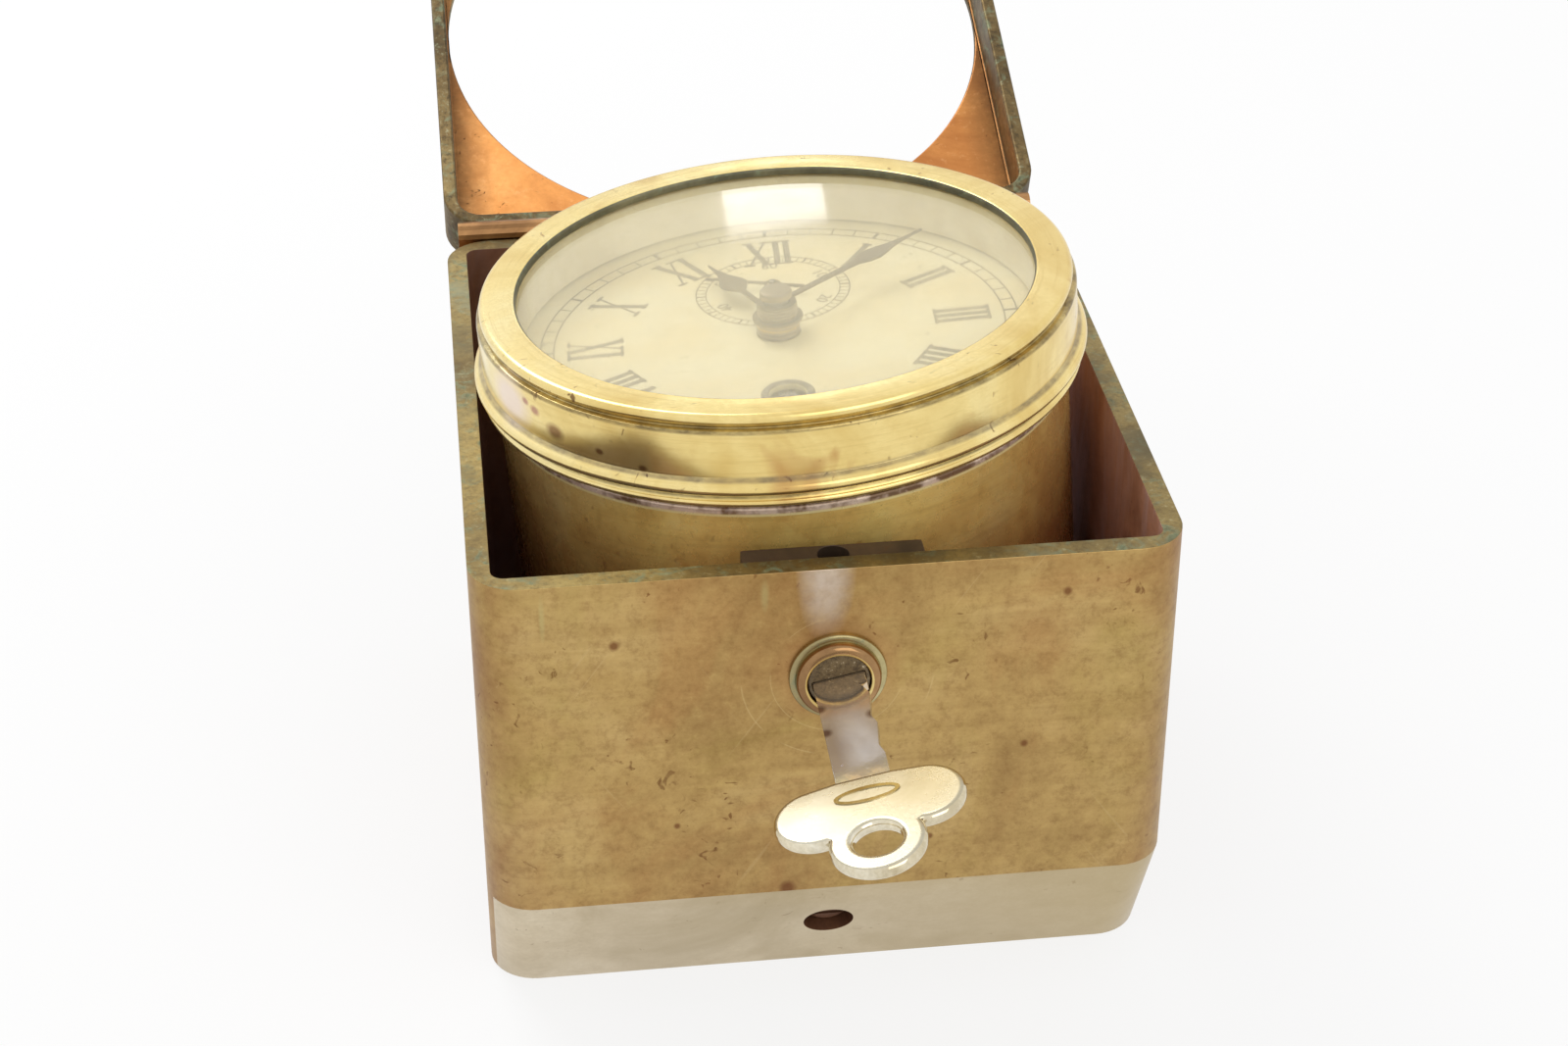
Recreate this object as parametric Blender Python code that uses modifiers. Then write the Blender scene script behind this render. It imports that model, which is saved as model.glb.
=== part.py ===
"""Ships clock in a lockable box: square case, round clock leaning in it, ring lid thrown back.

Metres, +Z up. The origin is the middle of the box's footprint, the front faces -Y, the hinge is at +Y.
The clock is modelled upright in its own frame, hung on one empty that gives it its lean.
"""

import math

import bmesh
import bpy
from mathutils import Matrix, Vector

MM = 0.001

# Shared clearances and cutter overrun
GAP = 0.3 * MM
OVER = 2.0 * MM

# Smoothness of round shapes
CORNER_STEPS = 4
BIG_STEPS = 48
PLATE_STEPS = 28
SMALL_STEPS = 16
FINE_STEPS = 10
HOLE_STEPS = 8

# Box
BOX_WIDTH = 98.0 * MM
BOX_DEPTH = 105.0 * MM
BOX_HEIGHT = 76.0 * MM
BOX_WALL = 3.1 * MM
BOX_CORNER = 6.9 * MM
BOX_INNER_CORNER = 1.8 * MM
FOOT_RISE = 22.0 * MM
FOOT_RUN = 11.3 * MM

# Base plate, its screw lugs and screws
BASE_THICK = 3.6 * MM
LUG_WIDTH = 16.0 * MM
LUG_DEPTH = 6.0 * MM
FRONT_LUG_TOP = 17.5 * MM
REAR_LUG_TOP = 14.0 * MM
BASE_SCREW_X = 0.3 * MM
BASE_SCREW_Z = 11.7 * MM
REAR_SCREW_Z = 9.0 * MM
BASE_SCREW_HEAD = 3.35 * MM
BASE_SCREW_HEAD_THICK = 1.7 * MM
BASE_SCREW_SHANK = 1.6 * MM
BASE_SCREW_LENGTH = 6.0 * MM
BASE_SCREW_SLOT = 0.8 * MM

# Seat block under the clock
SEAT_RADIUS = 32.0 * MM

# How the clock stands in the box
CLOCK_X = 4.35 * MM
CLOCK_Y = -0.63 * MM
CLOCK_DROP = 68.0 * MM
CLOCK_Z = BOX_HEIGHT - CLOCK_DROP
LEAN_LEFT = math.radians(4.07)
LEAN_BACK = math.radians(1.65)
DIAL_TURN = math.radians(3.0)

# Drum
DRUM_BOTTOM = 24.0 * MM
DRUM_SHOULDER = 70.4 * MM
DRUM_RADIUS = 42.4 * MM
DRUM_CHAMFER = 0.4 * MM
DRUM_FLOOR = 1.5 * MM
NECK_RADIUS = 40.9 * MM
NECK_TOP = 73.9 * MM
DRUM_BORE = 39.7 * MM

# Bezel, heights up from the foot of its skirt
BEZEL_FOOT = 71.4 * MM
BEZEL_TOP = 85.2 * MM
BEZEL_OPENING = 38.0 * MM
BEZEL_FLAT = 41.6 * MM
BEZEL_RIM = 43.45 * MM
BEZEL_BAND = 44.0 * MM
BEZEL_BEAD = 45.3 * MM
BEZEL_SKIRT_BORE = 41.7 * MM
BEZEL_UPPER_BORE = 40.2 * MM
BEZEL_LIP = 1.2 * MM
BEZEL_EDGE = 0.4 * MM
RIM_ROLL = 1.3 * MM
RIM_GROOVE = 0.45 * MM
GROOVE_HIGH = 0.5 * MM
BEAD_LOW = 1.9 * MM
BEAD_HIGH = 4.2 * MM
THIN_BEAD = 44.6 * MM
SKIRT_STEP = 5.0 * MM

# Glass and the ring below it
GLASS_THICK = 1.1 * MM
GLASS_EDGE = 0.3 * MM
RING_TOP_WALL = 0.7 * MM
RING_FOOT_WALL = 1.7 * MM
RING_FOOT_HEIGHT = 0.6 * MM

# Dial
DIAL_RADIUS = 40.6 * MM
DIAL_THICK = 0.8 * MM
DIAL_HOLE = 3.3 * MM
SECONDS_HOLE = 1.0 * MM
WINDING_HOLE = 2.7 * MM

# Movement plates and what holds them
BACK_PLATE = 46.0 * MM
FRONT_PLATE = 66.0 * MM
PLATE_THICK = 1.5 * MM
PLATE_RADIUS = 38.8 * MM
PILLAR_RING = 34.5 * MM
PILLAR_RADIUS = 1.9 * MM
PILLAR_SHARES = (35 / 360, 120 / 360, 205 / 360, 325 / 360)
POST_RING = 30.0 * MM
POST_RADIUS = 2.6 * MM
POST_SHARES = (30 / 360, 150 / 360, 270 / 360)
FOOT_RING = 33.5 * MM
DIAL_FOOT_RADIUS = 1.2 * MM

# Places of the arbors, from the dial's middle
SECONDS_REACH = 14.0 * MM
WINDING_REACH = 19.5 * MM
CENTRE_MODULE = 0.50 * MM
THIRD_MODULE = 0.46 * MM
FOURTH_MODULE = 0.50 * MM
ESCAPE_SHARE = 150 / 360
PALLET_SHARE = 206.57 / 360
PALLET_REACH = 7.6 * MM
BALANCE_REACH = 9.5 * MM
MOTION_MODULE = 0.60 * MM
MOTION_SHARE = -30 / 360

# Tooth counts
GREAT_TEETH = 48
CENTRE_LEAVES = 8
CENTRE_TEETH = 48
THIRD_LEAVES = 6
THIRD_TEETH = 45
FOURTH_LEAVES = 6
FOURTH_TEETH = 36
ESCAPE_LEAVES = 6
ESCAPE_TEETH = 15
CANNON_LEAVES = 8
MINUTE_TEETH = 24
MINUTE_LEAVES = 6
HOUR_TEETH = 24
RATCHET_TEETH = 24

# Tooth shape, in shares of the module and of the pitch
ADDENDUM_SHARE = 0.85
DEDENDUM_SHARE = 1.15
WHEEL_FLANK_SHARES = (0.29, 0.10)
PINION_FLANK_SHARES = (0.19, 0.09)

# Arbors and pivots
PIVOT = 0.45 * MM
ARBOR = 0.9 * MM
SHOULDER = 0.4 * MM
WHEEL_THICK = 1.0 * MM
HUB_WALL = 1.6 * MM
RIM_WALL = 1.5 * MM
PINION_EXTRA = 0.6 * MM

# Levels of the wheels' undersides
GREAT_LEVEL = 48.4 * MM
THIRD_LEVEL = 52.6 * MM
FOURTH_LEVEL = 55.6 * MM
CENTRE_LEVEL = 59.6 * MM
ESCAPE_LEVEL = 62.2 * MM

# Spring barrel
GREAT_THICK = 1.4 * MM
BARREL_RADIUS = 15.0 * MM
BARREL_TOP = 57.2 * MM
BARREL_WALL = 1.0 * MM
BARREL_ARBOR = 2.0 * MM
BARREL_PIVOT = 1.6 * MM
CAP_THICK = 1.0 * MM
SPRING_TURNS = 4
SPRING_STEPS = 12
SPRING_THICK = 0.5 * MM
WINDING_SQUARE = 2.5 * MM
WINDING_TOP = 74.5 * MM
RATCHET_RADIUS = 5.2 * MM
RATCHET_DEPTH = 0.8 * MM
RATCHET_THICK = 1.0 * MM
RATCHET_LIFT = 0.4 * MM

# Click and its spring
CLICK_REACH = 8.4 * MM
CLICK_SHARE = 150 / 360
CLICK_HUB = 1.4 * MM
CLICK_NOSE_SHARE = 105 / 360
CLICK_NOSE = 0.35 * MM
CLICK_STUD = 0.7 * MM
CLICK_HEAD = 1.3 * MM
CLICK_HEAD_THICK = 0.6 * MM
CLICK_SPRING_WIDE = 0.35 * MM
CLICK_SPRING_LONG = 8.0 * MM
CLICK_SPRING_STUD = 0.8 * MM

# Escapement and balance
ESCAPE_RADIUS = 4.45 * MM
ESCAPE_ROOT = 3.5 * MM
ESCAPE_THICK = 0.7 * MM
LEVER_THICK = 0.8 * MM
LEVER_HUB = 1.3 * MM
LEVER_ARM_X = 3.7 * MM
LEVER_ARM_Y = 3.9 * MM
LEVER_ARM_WIDE = 1.0 * MM
FORK_WIDE = 1.1 * MM
FORK_SLOT = 0.5 * MM
BALANCE_RADIUS = 8.0 * MM
BALANCE_RIM = 1.1 * MM
BALANCE_LEVEL = 56.6 * MM
BALANCE_THICK = 1.3 * MM
BALANCE_SPOKE = 1.2 * MM
ROLLER_RADIUS = 1.5 * MM
ROLLER_THICK = 0.9 * MM
HAIRSPRING_LEVEL = 59.9 * MM
HAIRSPRING_WIRE = 0.12 * MM
HAIRSPRING_INNER = 1.5 * MM
HAIRSPRING_OUTER = 5.2 * MM
HAIRSPRING_TURNS = 4
STUD_RADIUS = 0.5 * MM

# Motion work and hands
CANNON_FOOT = 68.1 * MM
CANNON_PIPE = 1.75 * MM
CANNON_TOP = 80.6 * MM
CANNON_FLANGE = 2.7 * MM
CANNON_FLANGE_TOP = 79.3 * MM
FLANGE_THICK = 0.8 * MM
MOTION_LEVEL = 69.1 * MM
MOTION_THICK = 1.0 * MM
HOUR_LEVEL = 71.6 * MM
HOUR_PIPE = 2.55 * MM
HOUR_TOP = 78.2 * MM
HOUR_FLANGE = 3.2 * MM
HOUR_FLANGE_TOP = 77.1 * MM
MINUTE_POST = 0.6 * MM
HAND_THICK = 0.4 * MM
MINUTE_HAND = 31.2 * MM
HOUR_HAND = 21.5 * MM
SECONDS_HAND = 10.6 * MM
SECONDS_TAIL = 5.0 * MM
SECONDS_LEVEL = 76.0 * MM
SECONDS_ARBOR = 0.5 * MM
SECONDS_TIP = 76.7 * MM
MINUTE_TIME_SHARE = 8.2 / 60
HOUR_TIME_SHARE = (11 + 8.2 / 60) / 12
SECONDS_TIME_SHARE = 48.5 / 60
HAND_BOSS_WALL = 0.9 * MM
HAND_SPINE = 0.45 * MM
HAND_POINT = 0.12 * MM
TAIL_SHARE = 0.6
SECONDS_THICK_SHARE = 0.7
BOSS_STEPS = 6
SPADE_WIDE = 2.0 * MM
NUT_RADIUS = 2.4 * MM
NUT_FOOT = 80.9 * MM
NUT_TOP = 82.0 * MM
NUT_ROOF = 0.3 * MM
NUT_CHAMFER = 0.5 * MM

# Hinge
HINGE_SETBACK = 2.3 * MM
HINGE_LENGTH = 94.0 * MM
KNUCKLES = 5
KNUCKLE_RADIUS = 2.0 * MM
HINGE_PIN = 0.9 * MM
LEAF_THICK = 1.0 * MM
BOX_LEAF_DROP = 14.0 * MM
LID_LEAF_RISE = 7.7 * MM
WEB_THICK = 0.8 * MM
LID_OPEN = math.radians(159.1)
STOP_WIDE = 16.0 * MM
STOP_THICK = 1.0 * MM
STOP_DROP = 6.6 * MM
HINGE_SCREW_HEAD = 1.7 * MM
HINGE_SCREW_HEAD_THICK = 0.7 * MM
HINGE_SCREW_SHANK = 0.8 * MM
HINGE_SCREW_LENGTH = 3.2 * MM
HINGE_SCREW_SLOT = 0.4 * MM
HINGE_SCREW_REACH = 30.0 * MM
BOX_LEAF_SCREW_DROP = 8.5 * MM
LID_LEAF_SCREW_RISE = 4.7 * MM

# Lid
LID_WALL = 2.2 * MM
LID_INNER_CORNER = 4.0 * MM
LID_INSIDE = 7.4 * MM
LID_PLATE = 1.6 * MM
WINDOW_RIM = 2.6 * MM
WINDOW_SPARE = 0.1 * MM
WINDOW_Y = 1.4 * MM

# Lock, its case and its bolt
LOCK_X = 0.5 * MM
LOCK_DROP = 17.1 * MM
LOCK_Z = BOX_HEIGHT - LOCK_DROP
LOCK_FLANGE = 6.8 * MM
LOCK_FLANGE_THICK = 0.7 * MM
LOCK_DOME = 5.9 * MM
LOCK_DOME_HIGH = 2.3 * MM
LOCK_LIP = 0.35 * MM
LOCK_BARREL = 5.5 * MM
PLUG_RADIUS = 4.3 * MM
PLUG_PROUD = 1.7 * MM
PLUG_DEEP = 6.0 * MM
KEYWAY_DEEP = 6.4 * MM
KEY_TURN = math.radians(12.0)
CASE_WIDTH = 25.0 * MM
CASE_THICK = 4.2 * MM
CASE_DROP = 1.1 * MM
CASE_HIGH = 26.6 * MM
CASE_TOP = BOX_HEIGHT - CASE_DROP
CASE_FOOT = CASE_TOP - CASE_HIGH
CATCH_HOLE = 2.55 * MM
CATCH_HOLE_DEEP = 11.0 * MM
BOLT_LONG = 7.0 * MM
BOLT_HIGH = 3.0 * MM
BOLT_THICK = 1.8 * MM
BOLT_DROP = 7.4 * MM
BOLT_Z = BOX_HEIGHT - BOLT_DROP

# Catch post on the lid
CATCH_POST = 1.9 * MM
CATCH_NECK = 0.9 * MM
CATCH_DEEP = 9.6 * MM
CATCH_NECK_SPARE = 0.5 * MM

# Key
KEY_BLADE_WIDE = 7.3 * MM
KEY_BLADE_THICK = 1.3 * MM
KEY_BLADE_OUT = 24.6 * MM
KEY_BOW_WIDE = 25.4 * MM
KEY_BOW_THICK = 2.0 * MM
KEY_END_OUT = 44.3 * MM
KEY_LOBE = 5.6 * MM
KEY_EYE_RING = 6.4 * MM
KEY_EYE = 3.2 * MM
KEY_LOBE_SPARE = 0.5 * MM
KEY_LOBE_SHARES = (85 / 360, -100 / 360)
KEY_EYE_SHARES = (18 / 360, -82 / 360)
LOBE_STEPS = 10
EYE_STEPS = 7
KEY_CUT_SHARES = ((0.30, 0.10), (0.36, 0.0), (0.52, 0.09), (0.58, 0.0), (0.74, 0.07), (0.80, 0.0))

PARTS = "ships_clock"
CUTTERS = "cutters"


def clear_scene():
    for obj in list(bpy.data.objects):
        bpy.data.objects.remove(obj, do_unlink=True)


def collection(name):
    made = bpy.data.collections.new(name)
    bpy.context.scene.collection.children.link(made)
    return made


def finish_of(name, colour, metallic, roughness):
    mat = bpy.data.materials.new(name)
    mat.use_nodes = True
    shader = mat.node_tree.nodes["Principled BSDF"]
    shader.inputs["Base Color"].default_value = (*colour, 1.0)
    shader.inputs["Metallic"].default_value = metallic
    shader.inputs["Roughness"].default_value = roughness
    mat.diffuse_color = (*colour, 1.0)
    return mat


FINISHES = {
    "brass": ((0.62, 0.45, 0.18), 1.0, 0.35),
    "dark_brass": ((0.36, 0.25, 0.11), 1.0, 0.45),
    "bright_brass": ((0.75, 0.58, 0.25), 1.0, 0.25),
    "steel": ((0.45, 0.45, 0.46), 1.0, 0.35),
    "blued_steel": ((0.12, 0.11, 0.12), 1.0, 0.4),
    "nickel": ((0.72, 0.66, 0.56), 1.0, 0.3),
    "silvered": ((0.86, 0.80, 0.64), 0.0, 0.6),
    "glass": ((0.95, 0.97, 0.97), 0.0, 0.05),
    "wood": ((0.30, 0.17, 0.08), 0.0, 0.7),
}


class Bench:
    """Where the pieces are put: their collections, and the empty that holds the clock."""

    def __init__(self):
        self.parts = collection(PARTS)
        self.cutters = collection(CUTTERS)
        self.clock = bpy.data.objects.new("clock_pose", None)
        self.parts.objects.link(self.clock)
        self.clock.matrix_world = clock_pose()

    def add(self, name, data, finish, place=None, in_clock=False):
        obj = bpy.data.objects.new(name, data)
        data.materials.append(finish_of(name + "_finish", *FINISHES[finish]))
        self.parts.objects.link(obj)
        if in_clock:
            obj.parent = self.clock
        if place is not None:
            obj.matrix_local = place
        return obj

    def spare(self, obj):
        for home in list(obj.users_collection):
            home.objects.unlink(obj)
        self.cutters.objects.link(obj)
        obj.hide_render = True
        obj.display_type = "WIRE"

    def combine(self, obj, other, operation):
        self.spare(other)
        modifier = obj.modifiers.new(other.name, "BOOLEAN")
        modifier.operation = operation
        modifier.object = other
        modifier.solver = "EXACT"

    def cut(self, obj, *others):
        for other in others:
            self.combine(obj, other, "DIFFERENCE")

    def fuse(self, obj, *others):
        for other in others:
            self.combine(obj, other, "UNION")


def clock_pose():
    """The clock's frame: its axis leans left and back, and the dial is turned a little."""
    stand = Matrix.Translation((CLOCK_X, CLOCK_Y, CLOCK_Z))
    lean = Matrix.Rotation(-LEAN_LEFT, 4, "Y") @ Matrix.Rotation(-LEAN_BACK, 4, "X")
    return stand @ lean @ Matrix.Rotation(-DIAL_TURN, 4, "Z")


def at(x=0.0, y=0.0, z=0.0):
    return Matrix.Translation((x, y, z))


def mesh_from(bm, name):
    mesh = bpy.data.meshes.new(name)
    bmesh.ops.recalc_face_normals(bm, faces=bm.faces)
    bm.to_mesh(mesh)
    bm.free()
    return mesh


def block_mesh(name, width, depth, low, high):
    bm = bmesh.new()
    bmesh.ops.create_cube(bm, size=1)
    bmesh.ops.scale(bm, vec=(width, depth, high - low), verts=bm.verts)
    bmesh.ops.translate(bm, vec=(0, 0, (low + high) / 2), verts=bm.verts)
    return mesh_from(bm, name)


def rod_mesh(name, radius, low, high, steps=SMALL_STEPS):
    bm = bmesh.new()
    bmesh.ops.create_cone(
        bm, cap_ends=True, segments=steps, radius1=radius, radius2=radius, depth=high - low
    )
    bmesh.ops.translate(bm, vec=(0, 0, (low + high) / 2), verts=bm.verts)
    return mesh_from(bm, name)


def turned(bench, name, profile, finish, place=None, in_clock=False, steps=SMALL_STEPS, loop=False):
    """A Screw modifier turns the profile, given as radius and height down the outer side."""
    bm = bmesh.new()
    points = [bm.verts.new((radius, 0, height)) for radius, height in profile]
    for first, second in zip(points, points[1:]):
        bm.edges.new((first, second))
    if loop:
        bm.edges.new((points[-1], points[0]))
    mesh = bpy.data.meshes.new(name)
    bm.to_mesh(mesh)
    bm.free()
    obj = bench.add(name, mesh, finish, place, in_clock)
    screw = obj.modifiers.new("Turn", "SCREW")
    screw.axis = "Z"
    screw.steps = steps
    screw.render_steps = steps
    screw.use_merge_vertices = True
    screw.merge_threshold = OVER / 1e3
    screw.use_smooth_shade = True
    return obj


def flat_curve(bench, name, outlines, low, high, finish, place=None, in_clock=False):
    """A flat outline with its holes, filled and thickened from low to high."""
    curve = bpy.data.curves.new(name, "CURVE")
    curve.dimensions = "2D"
    curve.fill_mode = "BOTH"
    curve.extrude = (high - low) / 2
    for outline in outlines:
        spline = curve.splines.new("POLY")
        spline.points.add(len(outline) - 1)
        for point, (x, y) in zip(spline.points, outline):
            point.co = (x, y, 0, 1)
        spline.use_cyclic_u = True
    frame = place if place is not None else Matrix.Identity(4)
    return bench.add(name, curve, finish, frame @ at(z=(low + high) / 2), in_clock)


def as_mesh(bench, obj):
    """The curve made a welded mesh, so that it can be cut or joined."""
    bpy.context.view_layer.update()
    graph = bpy.context.evaluated_depsgraph_get()
    mesh = bpy.data.meshes.new_from_object(obj.evaluated_get(graph))
    bm = bmesh.new()
    bm.from_mesh(mesh)
    bmesh.ops.remove_doubles(bm, verts=bm.verts, dist=OVER / 1e4)
    bmesh.ops.recalc_face_normals(bm, faces=bm.faces)
    bm.to_mesh(mesh)
    bm.free()
    name, world, parent = obj.name, obj.matrix_world.copy(), obj.parent
    bpy.data.objects.remove(obj, do_unlink=True)
    solid = bpy.data.objects.new(name, mesh)
    bench.parts.objects.link(solid)
    solid.parent = parent
    solid.matrix_world = world
    return solid


def polar(radius, share):
    angle = 2 * math.pi * share
    return (radius * math.cos(angle), radius * math.sin(angle))


def ring_of(radius, steps, middle=(0, 0), share=0.0):
    points = (polar(radius, share + k / steps) for k in range(steps))
    return [(middle[0] + x, middle[1] + y) for x, y in points]


def turned_flat(points, share):
    """Points turned about the origin by a share of a full turn."""
    cos, sin = polar(1, share)
    return [(x * cos - y * sin, x * sin + y * cos) for x, y in points]


def clock_way(share):
    """A clockwise share of the dial, from its top, as a share of a turn from +X."""
    return 1 / 4 - share


# Box and base


def lean_in(bm):
    """Moves what lies below the foot's rise back, along the slant of the front."""
    for vert in bm.verts:
        if vert.co.z < FOOT_RISE - OVER / 1e3 and vert.co.y < 0:
            vert.co.y += FOOT_RUN * (FOOT_RISE - vert.co.z) / FOOT_RISE


def footed_block(name, width, depth, corner, low, high, y=0.0):
    """A block with round upright corners whose front slants in at the foot."""
    bm = bmesh.new()
    bmesh.ops.create_cube(bm, size=1)
    bmesh.ops.scale(bm, vec=(width, depth, high - low), verts=bm.verts)
    bmesh.ops.translate(bm, vec=(0, y, (low + high) / 2), verts=bm.verts)
    upright = [e for e in bm.edges if abs(e.verts[0].co.z - e.verts[1].co.z) > (high - low) / 2]
    bmesh.ops.bevel(bm, geom=upright, offset=corner, segments=CORNER_STEPS, profile=0.5, affect="EDGES")
    everything = bm.verts[:] + bm.edges[:] + bm.faces[:]
    bmesh.ops.bisect_plane(bm, geom=everything, plane_co=(0, 0, FOOT_RISE), plane_no=(0, 0, 1))
    lean_in(bm)
    return mesh_from(bm, name)


def foot_slope():
    return math.atan2(FOOT_RUN, FOOT_RISE)


def front_screw_place():
    """Frame of the front screw: its axis runs square into the slanted foot."""
    y = -BOX_DEPTH / 2 + FOOT_RUN * (FOOT_RISE - BASE_SCREW_Z) / FOOT_RISE
    turn = Matrix.Rotation(math.pi / 2 + foot_slope(), 4, "X")
    return at(BASE_SCREW_X, y, BASE_SCREW_Z) @ turn


def rear_screw_place():
    return at(BASE_SCREW_X, BOX_DEPTH / 2, REAR_SCREW_Z) @ Matrix.Rotation(-math.pi / 2, 4, "X")


def screw_profile(head, thick, shank, length):
    """Down the outer side: domed head, then the shank."""
    return [
        (0, thick),
        (head * 0.6, thick),
        (head, thick * 0.6),
        (head, 0),
        (shank, 0),
        (shank, -length),
        (0, -length),
    ]


def slotted_screw(bench, name, sizes, finish, place):
    head, thick, shank, length, slot = sizes
    screw = turned(bench, name, screw_profile(head, thick, shank, length), finish, place, steps=FINE_STEPS)
    blade = block_mesh(name + "_slot", head * 2 + OVER, slot, thick * 0.5, thick + OVER)
    bench.cut(screw, bench.add(name + "_slot", blade, finish, place))
    return screw


def base_screw_sizes():
    return (BASE_SCREW_HEAD, BASE_SCREW_HEAD_THICK, BASE_SCREW_SHANK, BASE_SCREW_LENGTH, BASE_SCREW_SLOT)


def wall_seat(sloped):
    """How far under the wall's outer face the screw's lug begins, square to that face."""
    square = math.cos(foot_slope()) if sloped else 1
    return (BOX_WALL + 2 * GAP) * square


def base_screws(bench):
    for name, frame, sloped in (
        ("base_screw_front", front_screw_place(), True),
        ("base_screw_rear", rear_screw_place(), False),
    ):
        slotted_screw(bench, name, base_screw_sizes(), "dark_brass", frame @ at(z=-wall_seat(sloped) + GAP))


def screw_hole(bench, name, radius, low, high, place):
    return bench.add(name, rod_mesh(name, radius, low, high), "brass", place)


def box_body(bench):
    body = bench.add(
        "box_body", footed_block("box_body", BOX_WIDTH, BOX_DEPTH, BOX_CORNER, 0, BOX_HEIGHT), "brass"
    )
    width, depth = BOX_WIDTH - 2 * BOX_WALL, BOX_DEPTH - 2 * BOX_WALL
    room = footed_block("box_room", width, depth, BOX_INNER_CORNER, -OVER, BOX_HEIGHT + OVER)
    bench.cut(body, bench.add("box_room", room, "brass"))
    reach = BOX_WALL + OVER
    head = BASE_SCREW_HEAD + GAP
    bench.cut(body, screw_hole(bench, "front_screw_hole", head, -reach, OVER, front_screw_place()))
    bench.cut(body, screw_hole(bench, "rear_screw_hole", head, -reach, OVER, rear_screw_place()))
    hole = rod_mesh("lock_hole", LOCK_BARREL + GAP, -reach, OVER, BIG_STEPS // 2)
    bench.cut(body, bench.add("lock_hole", hole, "brass", lock_place()))
    for side in (-1, 1):
        name = "wall_hinge_hole" + str(side)
        place = hinge_screw_place(side, box_screw_z())
        bench.cut(body, screw_hole(bench, name, HINGE_SCREW_SHANK + GAP, -reach * 2, OVER, place))


def base_plate(bench):
    width = BOX_WIDTH - 2 * (BOX_WALL + GAP)
    depth = BOX_DEPTH - 2 * (BOX_WALL + GAP)
    plate = bench.add(
        "base_plate", footed_block("base_plate", width, depth, BOX_INNER_CORNER, 0, BASE_THICK), "dark_brass"
    )
    bench.fuse(plate, front_lug(bench, depth), rear_lug(bench, depth))
    hole = BASE_SCREW_SHANK + GAP
    deep = BOX_WALL + LUG_DEPTH + OVER * 2
    bench.cut(plate, screw_hole(bench, "front_lug_hole", hole, -deep, OVER, front_screw_place()))
    bench.cut(plate, screw_hole(bench, "rear_lug_hole", hole, -deep, OVER, rear_screw_place()))


def front_lug(bench, depth):
    """A lug that follows the slant of the foot, behind the front screw."""
    low = BASE_THICK / 2
    bm = bmesh.new()
    bmesh.ops.create_cube(bm, size=1)
    bmesh.ops.scale(bm, vec=(LUG_WIDTH, LUG_DEPTH, FRONT_LUG_TOP - low), verts=bm.verts)
    middle = (BASE_SCREW_X, (LUG_DEPTH - depth) / 2 + GAP, (FRONT_LUG_TOP + low) / 2)
    bmesh.ops.translate(bm, vec=middle, verts=bm.verts)
    lean_in(bm)
    return bench.add("front_lug", mesh_from(bm, "front_lug"), "dark_brass")


def rear_lug(bench, depth):
    lug = block_mesh("rear_lug", LUG_WIDTH, LUG_DEPTH, BASE_THICK / 2, REAR_LUG_TOP)
    return bench.add("rear_lug", lug, "dark_brass", at(BASE_SCREW_X, (depth - LUG_DEPTH) / 2 - GAP))


def seat_block(bench):
    """Round block on the base plate, cut off square to the leaning clock."""
    pose = clock_pose()
    top = pose @ Vector((0, 0, DRUM_BOTTOM - GAP))
    low = BASE_THICK + GAP
    ends = {"radius1": SEAT_RADIUS, "radius2": SEAT_RADIUS, "depth": DRUM_BOTTOM * 2}
    bm = bmesh.new()
    bmesh.ops.create_cone(bm, cap_ends=True, segments=PLATE_STEPS, **ends)
    bmesh.ops.translate(bm, vec=(top.x, top.y, low + DRUM_BOTTOM), verts=bm.verts)
    axis = pose.to_3x3() @ Vector((0, 0, 1))
    everything = bm.verts[:] + bm.edges[:] + bm.faces[:]
    cut = bmesh.ops.bisect_plane(bm, geom=everything, plane_co=top, plane_no=axis, clear_outer=True)
    rim = [e for e in cut["geom_cut"] if isinstance(e, bmesh.types.BMEdge)]
    bmesh.ops.contextual_create(bm, geom=rim)
    bench.add("seat_block", mesh_from(bm, "seat_block"), "wood")


# Hinge


def hinge_axis():
    """The hinge's middle, level with the joint between the box and the lid."""
    return Vector((0, BOX_DEPTH / 2 + HINGE_SETBACK, BOX_HEIGHT + GAP / 2))


def lid_pose():
    """Carries a piece of the shut lid to where the open lid holds it."""
    axis = hinge_axis()
    back = Matrix.Rotation(-LID_OPEN, 4, "X")
    return Matrix.Translation(axis) @ back @ Matrix.Translation(-axis)


def box_screw_z():
    return BOX_HEIGHT - BOX_LEAF_SCREW_DROP


def lid_screw_z():
    return lid_foot() + LID_LEAF_SCREW_RISE


def hinge_screw_place(side, height):
    """Frame of a hinge screw on the back of a leaf."""
    y = BOX_DEPTH / 2 + GAP + LEAF_THICK + GAP
    return at(side * HINGE_SCREW_REACH, y, height) @ Matrix.Rotation(-math.pi / 2, 4, "X")


def knuckle_span(index):
    """Left and right ends of one knuckle."""
    length = (HINGE_LENGTH - (KNUCKLES - 1) * GAP) / KNUCKLES
    left = -HINGE_LENGTH / 2 + index * (length + GAP)
    return left, left + length


def along_x(left, right):
    return (left + right) / 2, right - left


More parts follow.
